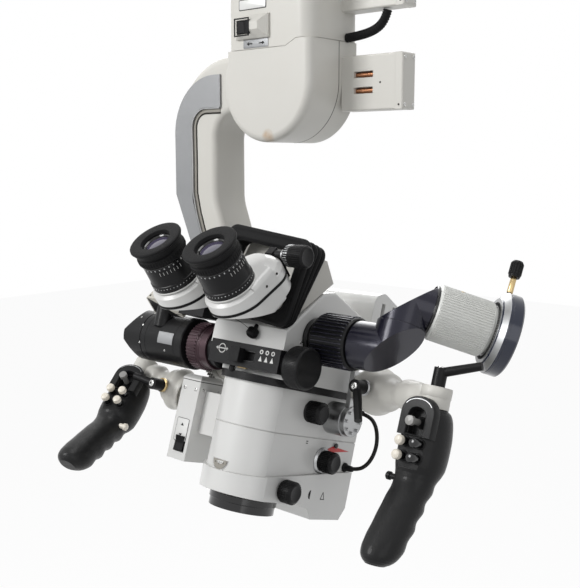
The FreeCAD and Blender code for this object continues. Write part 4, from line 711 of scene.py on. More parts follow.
# Nodes that stand at the left and at the right
PAIRS_OF_FINISH = {
    "cream": ("handle_arm",), "pearl": ("ocular",), "black": ("eyepiece",), "rubber": ("eyecup",),
    "plastic": ("arm_lever", "grip_lever"), "grip": ("grip",), "stick": ("joystick",),
    "gloss_black": ("buttons",),
}
NODE_FINISH = {node: finish for finish, nodes in NODES_OF_FINISH.items() for node in nodes}
NODE_FINISH.update({side + "_" + node: finish for finish, nodes in PAIRS_OF_FINISH.items() for node in nodes
                    for side in ("left", "right")})


class MICRO_OT_paint(bpy.types.Operator):
    """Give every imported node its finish"""
    bl_idname = "micro.paint"
    bl_label = "Paint the packed nodes"

    def execute(self, context):
        make_finishes(context.scene.micro_paint)
        for name, obj in frame["nodes"].items():
            obj.data.materials.clear()
            obj.data.materials.append(FINISHES[NODE_FINISH[name]])
            for polygon in obj.data.polygons:
                polygon.material_index = 0
        self.darken(frame["nodes"]["camera_box"])
        return {"FINISHED"}

    def darken(self, obj):
        """The prism and neck beside the camera share its node but are black."""
        obj.data.materials.append(FINISHES["black"])
        prism_left, neck_x, neck_y, neck_radius, neck_top = -95.5, -124, -36, 9.3, 178
        back = (Matrix.Scale(MM, 4) @ HEAD).inverted()
        for polygon in obj.data.polygons:
            spot = back @ (obj.matrix_world @ polygon.center)
            neck = math.hypot(spot.x - neck_x, spot.y - neck_y) < neck_radius and spot.z < neck_top
            if spot.x > prism_left or neck:
                polygon.material_index = 1


class MICRO_OT_housing(bpy.types.Operator):
    """Add the housing's seams, screws, plates and slide bars"""
    bl_idname = "micro.housing"
    bl_label = "Dress the housing"

    def execute(self, context):
        sizes = measures(context.scene.micro_arm)
        front, lobe = -sizes.depth, sizes.lobe
        inner, outer = lobe - 0.3, lobe + 0.12
        seam_back, seam_front, seam_top = 7.6, 8.2, 36.4
        box_side, box_front, box_pitch = 121, 12, 88
        piece("lobe_seam", lathe([(inner, seam_back), (outer, seam_back), (outer, seam_front),
                                  (inner, seam_front)], 60, True, 0, 90), HUB @ turn(-90, "X"), "root",
              "seam")
        piece("side_seam", bar((inner, seam_back, 0.2), (outer, seam_front, seam_top), 0), HUB, "root",
              "seam")
        parts = [(screw(2.0, 0.7), HUB @ shift(lobe, 22, 3) @ ALONG_X)]
        for x in (-44, 46):
            parts.append((screw(2.2, 0.7), HUB @ shift(x, front, 128) @ FACING))
        for z in (-22, 19):
            for y in (15.5, 28.5):
                for rise in (0, box_pitch):
                    parts.append((screw(1.7, 0.5), HUB @ shift(box_side, y, z + rise) @ ALONG_X))
        cluster("housing_screws", parts, "root", "steel")
        cluster("front_holes", [(screw(0.9, 0.25), HUB @ shift(x, box_front, z) @ FACING)
                                for x, z in ((97, -2), (117, -22), (117, 66))], "root", "seam")
        self.slide_bars()
        self.plates(front)
        return {"FINISHED"}

    def slide_bars(self):
        """Two round bars with a collar pair each, behind the lower box's slot."""
        radius, long = 2.12, 21
        bars = []
        for rise in (15, 29):
            place = HUB @ shift(68, 17, -26 + rise + 2.8) @ ALONG_X
            bars.append((lathe([(0, 0), (radius, 0), (radius, long), (0, long)], 32), place))
            for step in (6, 13):
                bars.append((lathe([(2, 0), (2.4, 0.3), (2.4, 2.2), (2, 2.5)], 32, True),
                             place @ shift(0, 0, step)))
        cluster("slide_bars", bars, "root", "copper")

    def plates(self, front):
        """The plate with two arrows, the bare plate and the frame round the rocker."""
        plate = HUB @ shift(-10, front, 35.7) @ FACING
        piece("arrow_plate", slab(rounded(31, 7.6, 0.8), 0.5, 0.15), plate, "root", "inlay")
        arrow = [(0, -0.55), (4.2, -0.55), (4.2, -1.7), (7.2, 0), (4.2, 1.7), (4.2, 0.55), (0, 0.55)]
        cluster("arrow_marks", [(slab(arrow, 0.12, 0), shift(side * 4, 0, 0.5) @ way)
                                for side, way in ((-1, turn(180, "Z")), (1, UNMOVED))], "root", "ink", plate)
        bare = HUB @ shift(-14, front, 71) @ FACING
        piece("bare_plate_rim", slab(rounded(34, 9.6, 1.2), 0.35, 0.1), bare, "root", "ink")
        piece("bare_plate", slab(rounded(32.8, 8.4, 0.9), 0.45, 0.1), bare, "root", "pearl")
        pod = HUB @ shift(-19.5, front - 9, 50) @ FACING
        sides = (((-9.3, -7.8), (-7.9, 7.8)), ((7.9, -7.8), (9.3, 7.8)),
                 ((-9.3, 7.0), (9.3, 8.2)), ((-9.3, -8.2), (9.3, -7.0)))
        cluster("rocker_frame", [(bar((*low, 0), (*high, 0.5), 0.1), UNMOVED) for low, high in sides],
                "root", "ink", pod)


def beside(points, amount):
    """A line of points moved sideways by an even amount, to the left where it is positive."""
    moved = []
    for number, (x, y) in enumerate(points):
        before, after = points[max(number - 1, 0)], points[min(number + 1, len(points) - 1)]
        run = Vector((after[0] - before[0], after[1] - before[1])).normalized()
        moved.append((x - run.y * amount, y + run.x * amount))
    return moved


def ribbon(points, wide, thick, finish, name, place, body):
    """A flat strip of even width along a line of points."""
    left, right = beside(points, wide / 2), beside(points, -wide / 2)
    rows = [((lx, ly, 0), (lx, ly, thick), (rx, ry, thick), (rx, ry, 0))
            for (lx, ly), (rx, ry) in zip(left, right)]
    return piece(name, skin(rows), place, body, finish)


class MICRO_OT_arm(bpy.types.Operator):
    """Add the lines beside the arm's inlay: a satin rim, a strip of painted shade along its step and a
    painted shadow line
    """
    bl_idname = "micro.arm"
    bl_label = "Dress the arm"

    def execute(self, context):
        place = HUB @ shift(0, -measures(context.scene.micro_arm).front, 0) @ FACING
        centre_x, centre_y, radius, steps = -103, -38, 20, 8
        edge = [(-82, -18)]
        for step in range(steps + 1):
            angle = math.radians(90 + 90 * step / steps)
            edge.append((centre_x + radius * math.cos(angle), centre_y + radius * math.sin(angle)))
        edge += [(-122.6, -70), (-122.8, -104), (-118, -125), (-100, -178)]
        # The second strip is painted shade along the inlay's step, in a darker copy of the cream paint; the
        # third is a painted shadow line in the seams' dark colour.
        for name, amount, wide, thick, finish in (("inlay_rim", 0.7, 1.0, 2.3, "satin"),
                                                  ("inlay_groove", 3.0, 3.4, 0.25, "groove"),
                                                  ("inlay_shadow_line", 5.6, 1.5, 0.45, "seam")):
            ribbon(beside(edge, amount), wide, thick, finish, name, place, "arm")
        return {"FINISHED"}


def knurl(long, wide=0.9, proud=0.35, radius=11.0, start=0.0, ease=0.5):
    """One rib that stands on a knob's rim, along local Z."""
    foot, crest = radius - 0.6, wide * 0.28
    heights = ((start, 0.0), (start + ease, proud), (start + long - ease, proud), (start + long, 0.0))
    return skin([((foot, -wide / 2, z), (radius + lift, -crest, z), (radius + lift, crest, z),
                  (foot, wide / 2, z)) for z, lift in heights])


class MICRO_OT_carrier(bpy.types.Operator):
    """Add the carrier's knurls, collar, marks and scale window"""
    bl_idname = "micro.carrier"
    bl_label = "Dress the carrier"

    def execute(self, context):
        sizes = measures(context.scene.micro_carrier)
        side = HEAD @ shift(sizes.side, 0, 0)
        for body, x, y, z, proud in (("magnification", sizes.side, 28, 103, 2),
                                     ("focus", sizes.side, 61, 57.5, 3),
                                     ("aperture", sizes.base_side, 6, 27, 2)):
            place = HEAD @ shift(x + 0.3, y, z) @ ALONG_X
            repeat(body + "_ribs", knurl(12.2, 0.95, 0.75, sizes.knob, proud + 0.5), sizes.knob_ribs, place,
                   body, "plastic")
            piece(body + "_face", lathe([(0, 0.25), (6.4, 0.25), (7.2, 0.6), (8.2, 0.3), (8.4, -0.2)], 64),
                  place @ shift(0, 0, proud + 14), body, "black")
        piece("focus_collar", lathe([(12.9, 0), (12.9, 0.8), (11.2, 2.9), (8.6, 2.9), (8.6, 0)], 96, True),
              side @ shift(0, 61, 57.5) @ ALONG_X, "head", "satin")
        piece("magnification_collar", lathe([(10.5, 0), (10.5, 0.6), (9.6, 1.6), (8.5, 1.6), (8.5, 0)], 96,
                                            True), side @ shift(0, 28, 103) @ ALONG_X, "head", "black")
        piece("red_wedge", slab([(66, 69), (75, 72.4), (104, 69), (75, 66.4)], 0.3, 0.1), side @ SIDE,
              "head", "red")
        piece("wedge_stop", lathe([(0, 3.6), (1.5, 3.4), (2.5, 2.6), (2.6, 1.4), (1.6, 0.6), (1.6, 0)], 40),
              side @ shift(0, 78, 73.4) @ ALONG_X, "head", "gloss_black")
        self.marks(side @ SIDE, HEAD @ shift(sizes.base_side, 0, 0) @ SIDE)
        self.window(sizes)
        self.drive()
        return {"FINISHED"}

    def marks(self, body, base):
        """Two strokes on the body; a half-moon and a triangle on the base."""
        thick, line = 0.15, 0.35
        marks = [(slab([(31, z), (34, z), (34, z + 0.8), (31, z + 0.8)], thick, 0), body) for z in (72, 74)]
        moon = [(50 + 3.2 * math.sin(math.radians(angle)), 24 + 4.4 * math.cos(math.radians(angle)))
                for angle in range(180, 361, 15)]
        marks.append((slab(moon, thick, 0), base))
        corners = ((67, 20), (73, 20), (70, 27))
        for a, b in zip(corners, corners[1:] + corners[:1]):
            run = Vector((b[0] - a[0], b[1] - a[1])).normalized() * line
            marks.append((slab([(a[0] - run.y, a[1] + run.x), (a[0] + run.y, a[1] - run.x),
                                (b[0] + run.y, b[1] - run.x), (b[0] - run.y, b[1] + run.x)], thick, 0),
                          base))
        cluster("panel_marks", marks, "head", "ink")

    def window(self, sizes):
        """A half-round scale window low on the nose, with a bright rim and plain strokes."""
        radius = sizes.nose

        def wrapped(bm, lift):
            for vert in bm.verts:
                angle = vert.co.x / radius
                far = radius + lift + vert.co.z
                vert.co = Vector((far * math.sin(angle), -far * math.cos(angle), vert.co.y))
            return bm

        def arch(wide, high, steps=20):
            return [(-wide / 2, 0), *[(-wide / 2 * math.cos(math.pi * n / steps),
                                       -high * math.sin(math.pi * n / steps)) for n in range(1, steps)],
                    (wide / 2, 0)]

        def strip(points, thick):
            bm = slab(points, thick, 0)
            bmesh.ops.subdivide_edges(bm, edges=list(bm.edges), cuts=1)
            return bm

        place = HEAD @ turn(-2, "Z") @ shift(0, 0, 44.5)
        piece("window_rim", wrapped(strip(arch(20, 10.4), 0.5), 0), place, "head", "steel")
        piece("window_face", wrapped(strip(arch(17.4, 8.8), 0.3), 0.35), place @ shift(0, 0, -0.5), "head",
              "groove")
        half_line, top = 0.22, -2.4
        strokes = [(wrapped(bar((x - half_line, top - long, 0), (x + half_line, top, 0.1), 0), 0.72),
                    UNMOVED) for x, long in ((-5, 1.6), (-2.5, 1.0), (0, 2.6), (2.5, 1.0), (5, 1.6))]
        cluster("window_strokes", strokes, "head", "ink", place)

    def drive(self):
        """Screws, bare plate with two arrows, and lid seam of the drive box."""
        front = HEAD @ shift(0, -10, 0) @ FACING
        screws = [(screw(1.9, 0.5), front @ shift(x, 99.5, 0)) for x in (-99, -83)]
        screws += [(screw(1.6, 0.5), HEAD @ shift(-78, y, 100) @ ALONG_X) for y in (-4, 18)]
        cluster("drive_screws", screws, "head", "steel")
        middle = -91
        plate = front @ shift(middle, 57, 0)
        piece("drive_plate_rim", slab(rounded(17.6, 23.6, 2), 0.3, 0.1), plate, "head", "ink")
        piece("drive_plate", slab(rounded(16.8, 22.8, 1.6), 0.4, 0.1), plate, "head", "pearl")
        cluster("drive_arrows", [(slab([(-2.2, 0), (2.2, 0), (0, 3)], 0.1, 0),
                                  front @ shift(middle, 61, 0.4)),
                                 (slab([(-2.2, 0), (0, -3), (2.2, 0)], 0.1, 0),
                                  front @ shift(middle, 53, 0.4))], "head", "ink")
        piece("drive_seam", bar((-104.15, -10.15, 107.6), (-77.85, 26.15, 108.3), 0), HEAD, "head", "seam")


class MICRO_OT_selector(bpy.types.Operator):
    """Add the selector bar's marks and pegs, and the splitter's lock screw and lines"""
    bl_idname = "micro.selector"
    bl_label = "Dress the selector bar"

    def execute(self, context):
        front = HEAD @ shift(0, -50, 0) @ FACING
        sign = front @ shift(-20, 145, 0)
        marks = [(lathe([(3.7, 0), (3.7, 0.12), (4.5, 0.12), (4.5, 0)], 40, True), sign),
                 (bar((-6.8, -0.5, 0), (6.8, 0.5, 0.12), 0), sign),
                 (slab([(5.6, -1.6), (8, 0), (5.6, 1.6)], 0.12, 0), sign),
                 (slab([(-5.6, 1.6), (-8, 0), (-5.6, -1.6)], 0.12, 0), sign)]
        for x in (29.5, 36.5, 43.5):
            marks.append((lathe([(1.1, 0), (1.1, 0.12), (2.1, 0.12), (2.1, 0)], 32, True),
                          front @ shift(x, 148, 0)))
            marks.append((slab([(-2.1, -5.6), (2.1, -5.6), (0, -0.6)], 0.12, 0), front @ shift(x, 145, 0)))
        cluster("bar_marks", marks, "head", "mark")
        cluster("bar_track_edge", [(bar((-6.6, z, -0.2), (22.6, z + 0.7, 0.25), 0.1), UNMOVED)
                                   for z in (6.2, 15.1)], "head", "black", front @ shift(0, 131, 0))
        below = turn(180, "X")
        piece("bar_peg", lathe([(0, 5.5), (2.6, 5.5), (3.1, 5), (3.1, 1.2), (2.4, 0.6), (2.4, 0)], 40),
              HEAD @ shift(-8, -44, 131) @ below, "head", "plastic")
        piece("bar_tag", slab(rounded(11, 3.4, 0.8), 0.8, 0.2), HEAD @ shift(5, -44, 131) @ below, "head",
              "brass")
        cap = HEAD @ shift(52, -31, 141) @ ALONG_X
        repeat("cap_ribs", knurl(14.6, 0.8, 0.3, 19, 4.2), 84, cap, "head", "black")
        piece("cap_face", lathe([(0, 0.2), (15.4, 0.2), (16.6, 0.5), (17.6, 0.2), (17.8, -0.3)], 96),
              cap @ shift(0, 0, 20), "head", "black")
        lock = HEAD @ shift(8, -40, 171) @ turn(150, "X")
        repeat("lock_ribs", knurl(6.4, 1.0, 0.6, 5.0, 4.4), 22, lock, "head", "plastic")
        piece("lock_screw", lathe([(2.2, -1), (2.2, 3), (3, 3.6), (5, 4.2), (5, 11), (4.2, 11.8),
                                   (0, 11.8)], 48), lock, "head", "plastic")
        arc = [(-24 + 30 * step / 10, 174.5 - 10.5 * (step / 10) ** 1.6) for step in range(11)]
        ribbon(arc, 0.5, 0.12, "seam", "splitter_line", HEAD @ shift(0, -40, 0) @ FACING, "head")
        slope = HEAD @ shift(0, -14, 198.05) @ turn(45, "X")
        cluster("flange_screws", [(screw(1.5, 0.8), slope @ turn(angle, "Z") @ shift(28.6, 0, 1.6))
                                  for angle in (-38, -24, -10)], "head", "steel")
        cluster("splitter_screw", [(screw(1.8, 0.6), HEAD @ shift(46, 12, 196) @ ALONG_X),
                                   (screw(1.5, 0.5), HEAD @ shift(46, -18, 164) @ ALONG_X)], "head",
                "steel")
        return {"FINISHED"}


class MICRO_OT_camera(bpy.types.Operator):
    """Add the camera adapter's knurl, screws and bare plate, and the camera's screws"""
    bl_idname = "micro.camera"
    bl_label = "Dress the camera adapter"

    def execute(self, context):
        sizes = measures(context.scene.micro_camera)
        axis = HEAD @ shift(0, -sizes.forward, sizes.axis)
        ring = axis @ shift(-53.3, 0, 0) @ ALONG_LEFT
        repeat("focus_ring_ribs", knurl(12.6, 2.1, 1.0, sizes.ring, 12.3, 0.3), sizes.ribs, ring,
               "camera_focus", "plum")
        piece("focus_ring_lip", lathe([(21.4, 8.6), (21.9, 9), (21.9, 10), (21.4, 10.4)], 96, True), ring,
              "camera_focus", "plum")
        body = axis @ shift(-84, 0, 0) @ ALONG_LEFT
        radius = sizes.radius
        inner, outer = radius - 0.3, radius + 0.12
        cluster("adapter_bands", [(lathe([(inner, z), (outer, z), (outer, z + 0.5), (inner, z + 0.5)], 128,
                                         True), UNMOVED) for z in (10.5, 54)], "head", "ink", body)
        spots = [(axis @ turn(angle, "X") @ shift(x, -radius, 0) @ FACING)
                 for angle, x in ((-62, -146), (-20, -146), (22, -146), (-40, -156), (30, -108))]
        cluster("adapter_screws", [(screw(1.1, 0.35), place) for place in spots], "head", "steel")
        plate = lathe([(radius - 0.2, 12), (radius + 0.3, 12), (radius + 0.3, 34), (radius - 0.2, 34)], 20,
                      True, 0, 26)
        piece("adapter_plate", plate, axis @ turn(-76, "X") @ shift(-84, 0, 0) @ ALONG_LEFT
              @ turn(-180, "Z"), "head", "inlay")
        lean = HEAD @ shift(-140, -52, 181) @ turn(-38, "X")
        holes = [(screw(1.2, 0.35), lean @ shift(x, 0, z) @ FACING) for x in (3.5, 40.5) for z in (4, 36)]
        cluster("camera_screws", holes, "head", "seam")
        piece("camera_seam", bar((-0.12, 17.6, -0.1), (44.12, 18.2, 40.12), 0), lean, "head", "seam")
        return {"FINISHED"}


def periscope_top(sizes):
    """Where the second prism stands on the first, turned by its swivel."""
    lean = turn(-sizes.lean, "X")
    up = lean @ Vector((0, 0, 1))
    start = Vector((136, 0, sizes.axis)) + up * (sizes.prism + 0.3)
    return HEAD @ Matrix.Translation(start) @ lean @ turn(sizes.swivel, "Z")


class MICRO_OT_port(bpy.types.Operator):
    """Add the side port's ribs, caps, flange edge and screw"""
    bl_idname = "micro.port"
    bl_label = "Dress the side port"

    def execute(self, context):
        sizes = measures(context.scene.micro_port)
        ring = HEAD @ shift(46.3, 0, sizes.axis) @ ALONG_X
        repeat("port_ring_ribs", knurl(35.4, 1.7, 0.9, sizes.ring, 13.2, 1.2), 40, ring, "port_clamp",
               "violet")
        piece("port_ring_band", lathe([(18.2, 1.2), (18.9, 1.8), (18.9, 5.6), (18.2, 6.2)], 96, True), ring,
              "port_clamp", "gloss_black")
        top = periscope_top(sizes)
        tube = top @ shift(sizes.prism, 0, sizes.prism) @ ALONG_X
        repeat("tube_ribs", knurl(sizes.tube_long - 5.8, 1.5, 0.85, sizes.tube, 2.0, 0.8), sizes.ribs, tube,
               "periscope_upper", "rib_white")
        piece("tube_hole", lathe([(0, 0.9), (1.3, 0.9), (1.9, 1.0), (1.9, 0)], 32),
              tube @ turn(200, "Z") @ shift(sizes.tube - 0.1, 0, 20) @ ALONG_X, "periscope_upper", "brass")
        piece("tube_collar", lathe([(22.2, 0.15), (23.2, -0.6), (23.2, -2.2), (22.2, -2.8)], 96, True),
              tube, "periscope_upper", "gloss_black")
        edge = top @ shift(sizes.prism + sizes.tube_long + 0.3, 0, sizes.prism) @ ALONG_X
        far = sizes.flange
        piece("flange_back", lathe([(22, -0.2), (far - 7.3, -0.2), (far - 0.5, 5.4), (far - 0.9, 5.9),
                                    (far - 7.6, 0.3), (22, 0.3)], 128, True), edge, "port_end", "satin")
        repeat("flange_ticks", bar((23.4, -0.45, -0.5), (26.6, 0.45, -0.15), 0.05), 64, edge, "port_end",
               "ink")
        piece("flange_band", lathe([(far - 0.1, 7.2), (far + 0.12, 7.5), (far + 0.12, 8.1),
                                    (far - 0.1, 8.4)], 128, True), edge, "port_end", "blue")
        piece("flange_throat", lathe([(far - 9.4, 10.2), (far - 11, 10.6), (12, 10.6), (11, 10.2)], 96),
              edge, "port_end", "lens")
        stem = edge @ shift(-(far - 7.5), 0, 9) @ ALONG_LEFT
        piece("screw_stem", lathe([(2.5, 9), (2.75, 9.4), (2.75, 23.6), (2.5, 24)], 40), stem, "end_screw",
              "brass")
        repeat("screw_ribs", knurl(11.4, 1.3, 0.45, 5.5, 26.3), 16, stem, "end_screw", "plastic")
        lower = HEAD @ shift(136, 0, sizes.axis) @ turn(-sizes.lean, "X")
        piece("prism_cap", lathe([(0, 0.6), (2.8, 0.6), (3.2, 0.3), (3.2, 0)], 40),
              lower @ turn(-62, "X") @ shift(-12, 0, sizes.prism), "periscope_lower", "black")
        return {"FINISHED"}


def eye_frame(sizes, side, depth, rise=0):
    """A frame on one line of sight: local Z looks down it, from the eyepiece's upper end."""
    pitch = math.radians(sizes.pitch)
    into = Vector((0, math.cos(pitch), -math.sin(pitch)))
    up = Vector((0, math.sin(pitch), math.cos(pitch)))
    spot = Vector((side * sizes.spacing / 2, -sizes.forward, sizes.rise)) + into * depth + up * rise
    turned = Matrix(((-1, up.x, into.x), (0, up.y, into.y), (0, up.z, into.z))).to_4x4()
    return HEAD @ Matrix.Translation(spot) @ turned


class MICRO_OT_binocular(bpy.types.Operator):
    """Add the eyepieces' ribs, marks, lenses and belts, and the spacing knob's ribs"""
    bl_idname = "micro.binocular"
    bl_label = "Dress the binocular"

    def execute(self, context):
        sizes = measures(context.scene.micro_binocular)
        radius = sizes.barrel
        for side, tag in ((-1, "left"), (1, "right")):
            place = eye_frame(sizes, side, 0)
            cup, sight = tag + "_cup", tag + "_sight"
            repeat(tag + "_cup_ribs", knurl(4.6, 1.6, 0.5, radius + 0.6, 10.8), sizes.cup_ribs, place, cup,
                   "rubber")
            piece(tag + "_cup_lip", lathe([(13.4, 3.6), (14.4, 0.9), (23.0, 0.1), (24.2, 0.6), (24.5, 1.7),
                                           (24.1, 2.6), (24.6, 1.7), (24.4, 0.3), (23.0, -0.3), (14.2, 0.5),
                                           (13.0, 3.5)], 128, True), place, cup, "rubber", 60)
            piece(tag + "_lens_ring", lathe([(13.4, 5.2), (12.9, 4.6), (11.6, 5.4), (11.2, 6.6)], 96),
                  place, sight, "gloss_black")
            piece(tag + "_lens", lathe([(0, 4.3), (3, 4.4), (6, 4.8), (9, 5.4), (11.4, 6.2)], 96), place,
                  sight, "lens", 60)
            repeat(tag + "_dots", bar((radius - 0.9, -0.55, 19.0), (radius - 0.35, 0.55, 20.3), 0.1),
                   sizes.marks, place, sight, "satin")
            repeat(tag + "_scale", bar((radius - 0.8, -0.2, 22.4), (radius - 0.12, 0.2, 25.6), 0), 7, place,
                   sight, "mark", step=9, start=150 if side > 0 else 190)
            rings = [[(radius - 0.6, z), (radius + lift, z + 0.3), (radius + lift, z + high),
                      (radius - 0.6, z + high + 0.3)]
                     for z, lift, high in ((17.1, -0.2, 1.0), (37.2, 0.5, 2.6))]
            cluster(tag + "_barrel_rings", [(lathe(ring, 128, True), UNMOVED) for ring in rings], sight,
                    "gloss_black", place)
            repeat(tag + "_lower_dots", bar((radius + 0.6, -0.4, 39.3), (radius + 0.95, 0.4, 40.2), 0.1),
                   44, place, sight, "satin")
            piece(tag + "_white_ring", lathe([(radius, 43.6), (radius + 1.3, 43.9), (radius + 1.5, 44.9),
                                              (radius - 1, 44.9)], 128, True), place, sight, "mark")
            house = eye_frame(sizes, side, sizes.long)
            self.belt(tag, sizes, house, sight)
            reach = sizes.housing_radius
            holes = [(screw(1.2, 0.4), house @ shift(x, y, z) @ turn(turned, "Z") @ ALONG_X)
                     for x, y, z, turned in ((-reach, 30, 9, 180), (-reach, 14, 10, 180), (reach, 20, 9, 0))]
            cluster(tag + "_housing_holes", holes, sight, "seam")
        back = eye_frame(sizes, 0, sizes.long + sizes.housing + 0.3, sizes.reach)
        knob = back @ shift(-44.3, 31, -25) @ ALONG_LEFT
        repeat("spacing_ribs", knurl(12.4, 1.0, 0.4, 10, 14.0), 36, knob, "spacing", "plastic")
        repeat("spacing_ticks", bar((9.7, -0.3, 7.4), (10.1, 0.3, 11.8), 0.05), 30, knob, "spacing",
               "satin")
        piece("spacing_face", lathe([(0, 0.2), (7.2, 0.2), (8, 0.5), (8.8, 0.2), (9, -0.3)], 64),
              knob @ shift(0, 0, 28), "spacing", "black")
        piece("spacing_stub", lathe([(4.1, 0.4), (5.4, 0.8), (5.4, 5.4), (4.1, 5.8)], 48, True), knob,
              "spacing", "satin")
        return {"FINISHED"}

    def belt(self, tag, sizes, house, body):
        """The dark belt where the two halves of an ocular housing meet."""
        radius, reach, steps = sizes.housing_radius, sizes.reach, 32
        half, proud, rise, slope = 1.5, 0.5, 13.2, 0.11
        rows, outline = [], []
        for start, centre in ((math.pi, 0), (0, reach)):
            for n in range(steps + 1):
                angle = start + math.pi * n / steps
                outline.append((radius * math.cos(angle), centre + radius * math.sin(angle)))
        for x, y in outline:
            centre = reach if y > reach else min(max(y, 0), reach)
            out = Vector((x, y - centre)).normalized()
            middle = rise + slope * (y + radius)
            rows.append([(x + out.x * lift, y + out.y * lift, middle + step) for lift, step in
                         ((-0.8, -half), (0.35, -1.3), (proud, 0), (0.35, 1.3), (-0.8, half))])
        piece(tag + "_belt", skin(rows, closed=True), house, body, "rubber", 60)


class MICRO_OT_bellows(bpy.types.Operator):
    """Build the folded rubber bellows between the base and the yoke"""
    bl_idname = "micro.bellows"
    bl_label = "Build the bellows"

    def execute(self, context):
        sizes = measures(context.scene.micro_bellows)
        steps = 14

        def section(share, inset, corner, inner, lift=0.0):
            """Points of one rounded frame at a share of the depth, in the head's frame."""
            wide, high = sizes.wide - 2 * inset, sizes.high - 2 * inset
            lean = sizes.lean + sizes.fan * (1 - share)
            place = (shift(0, -28.4 - 15.2 * share, 218.2 + 0.9 * share) @ turn(sizes.roll, "Y")
                     @ turn(90 - lean, "X") @ shift(0, 0, lift))
            if inner:
                wide, high, corner = wide - 2 * inner[0], high - 2 * inner[1], inner[2]
            return [place @ Vector((x, y, 0)) for x, y in rounded(wide, high, corner, steps)]

        loops = [section(0, 3.2, 11, (8.6, 8.6, 7)), section(0, 3.2, 11, None)]
        folds = sizes.folds
        for fold in range(folds - 1):
            start = fold / (folds - 0.35)
            for part, inset in ((0.10, 0.9), (0.28, 0.1), (0.52, 0.1), (0.70, 0.9), (0.85, 3.1),
                                (0.97, 3.3)):
                loops.append(section(start + part / (folds - 0.35), inset, 12 - inset * 0.3, None))
        border = sizes.border
        thick = 4.3
        loops += [section(1, 0.9, 12, None, -1.2), section(1, 0.0, 12, None, 0.2),
                  section(1, 0.0, 12, None, 2.2), section(1, 0.5, 12, None, thick - 0.8),
                  section(1, 1.9, 11.4, None, thick - 0.1), section(1, 3.4, 11, None, thick),
                  section(1, 4.6, 10.6, None, thick - 0.7), section(1, 6.2, 10, None, thick - 0.9),
                  section(1, border - 3.6, 9, None, thick - 0.9),
                  section(1, border - 2.6, 8.6, None, thick - 1.5),
                  section(1, border - 1.8, 8.2, None, thick - 2.9),
                  section(1, border - 0.5, 7.6, None, thick - 3.2),
                  section(1, border + 0.2, 7.2, None, thick - 4.0)]
        loops += [section(1, 0, 12, (border + 0.2, border - 4, 7.2), -0.6),
                  section(0.5, 2.4, 11, (10.5, 9.2, 7), 0)]
        obj = piece("bellows_rubber", skin(loops, closed=True), HEAD, "head", "rubber", 70)
        obj.parent = None
        obj.matrix_world = Matrix.Identity(4)
        del obj["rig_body"]
        smooth = obj.modifiers.new("Smooth", "SUBSURF")
        smooth.levels = smooth.render_levels = 1
        bpy.context.view_layer.update()
        mesh = bpy.data.meshes.new_from_object(obj.evaluated_get(bpy.context.evaluated_depsgraph_get()))
        obj.modifiers.clear()
        obj.data = mesh
        mesh.shade_smooth()
        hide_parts("bellows")
        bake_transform(obj)
        return {"FINISHED"}

    def spot(self, share):
        """A point on the line through the folds, from the base at 0 to the yoke at 1."""
        return (Matrix.Scale(MM, 4) @ HEAD) @ Vector((0, -30 - 17 * share, 218.2))


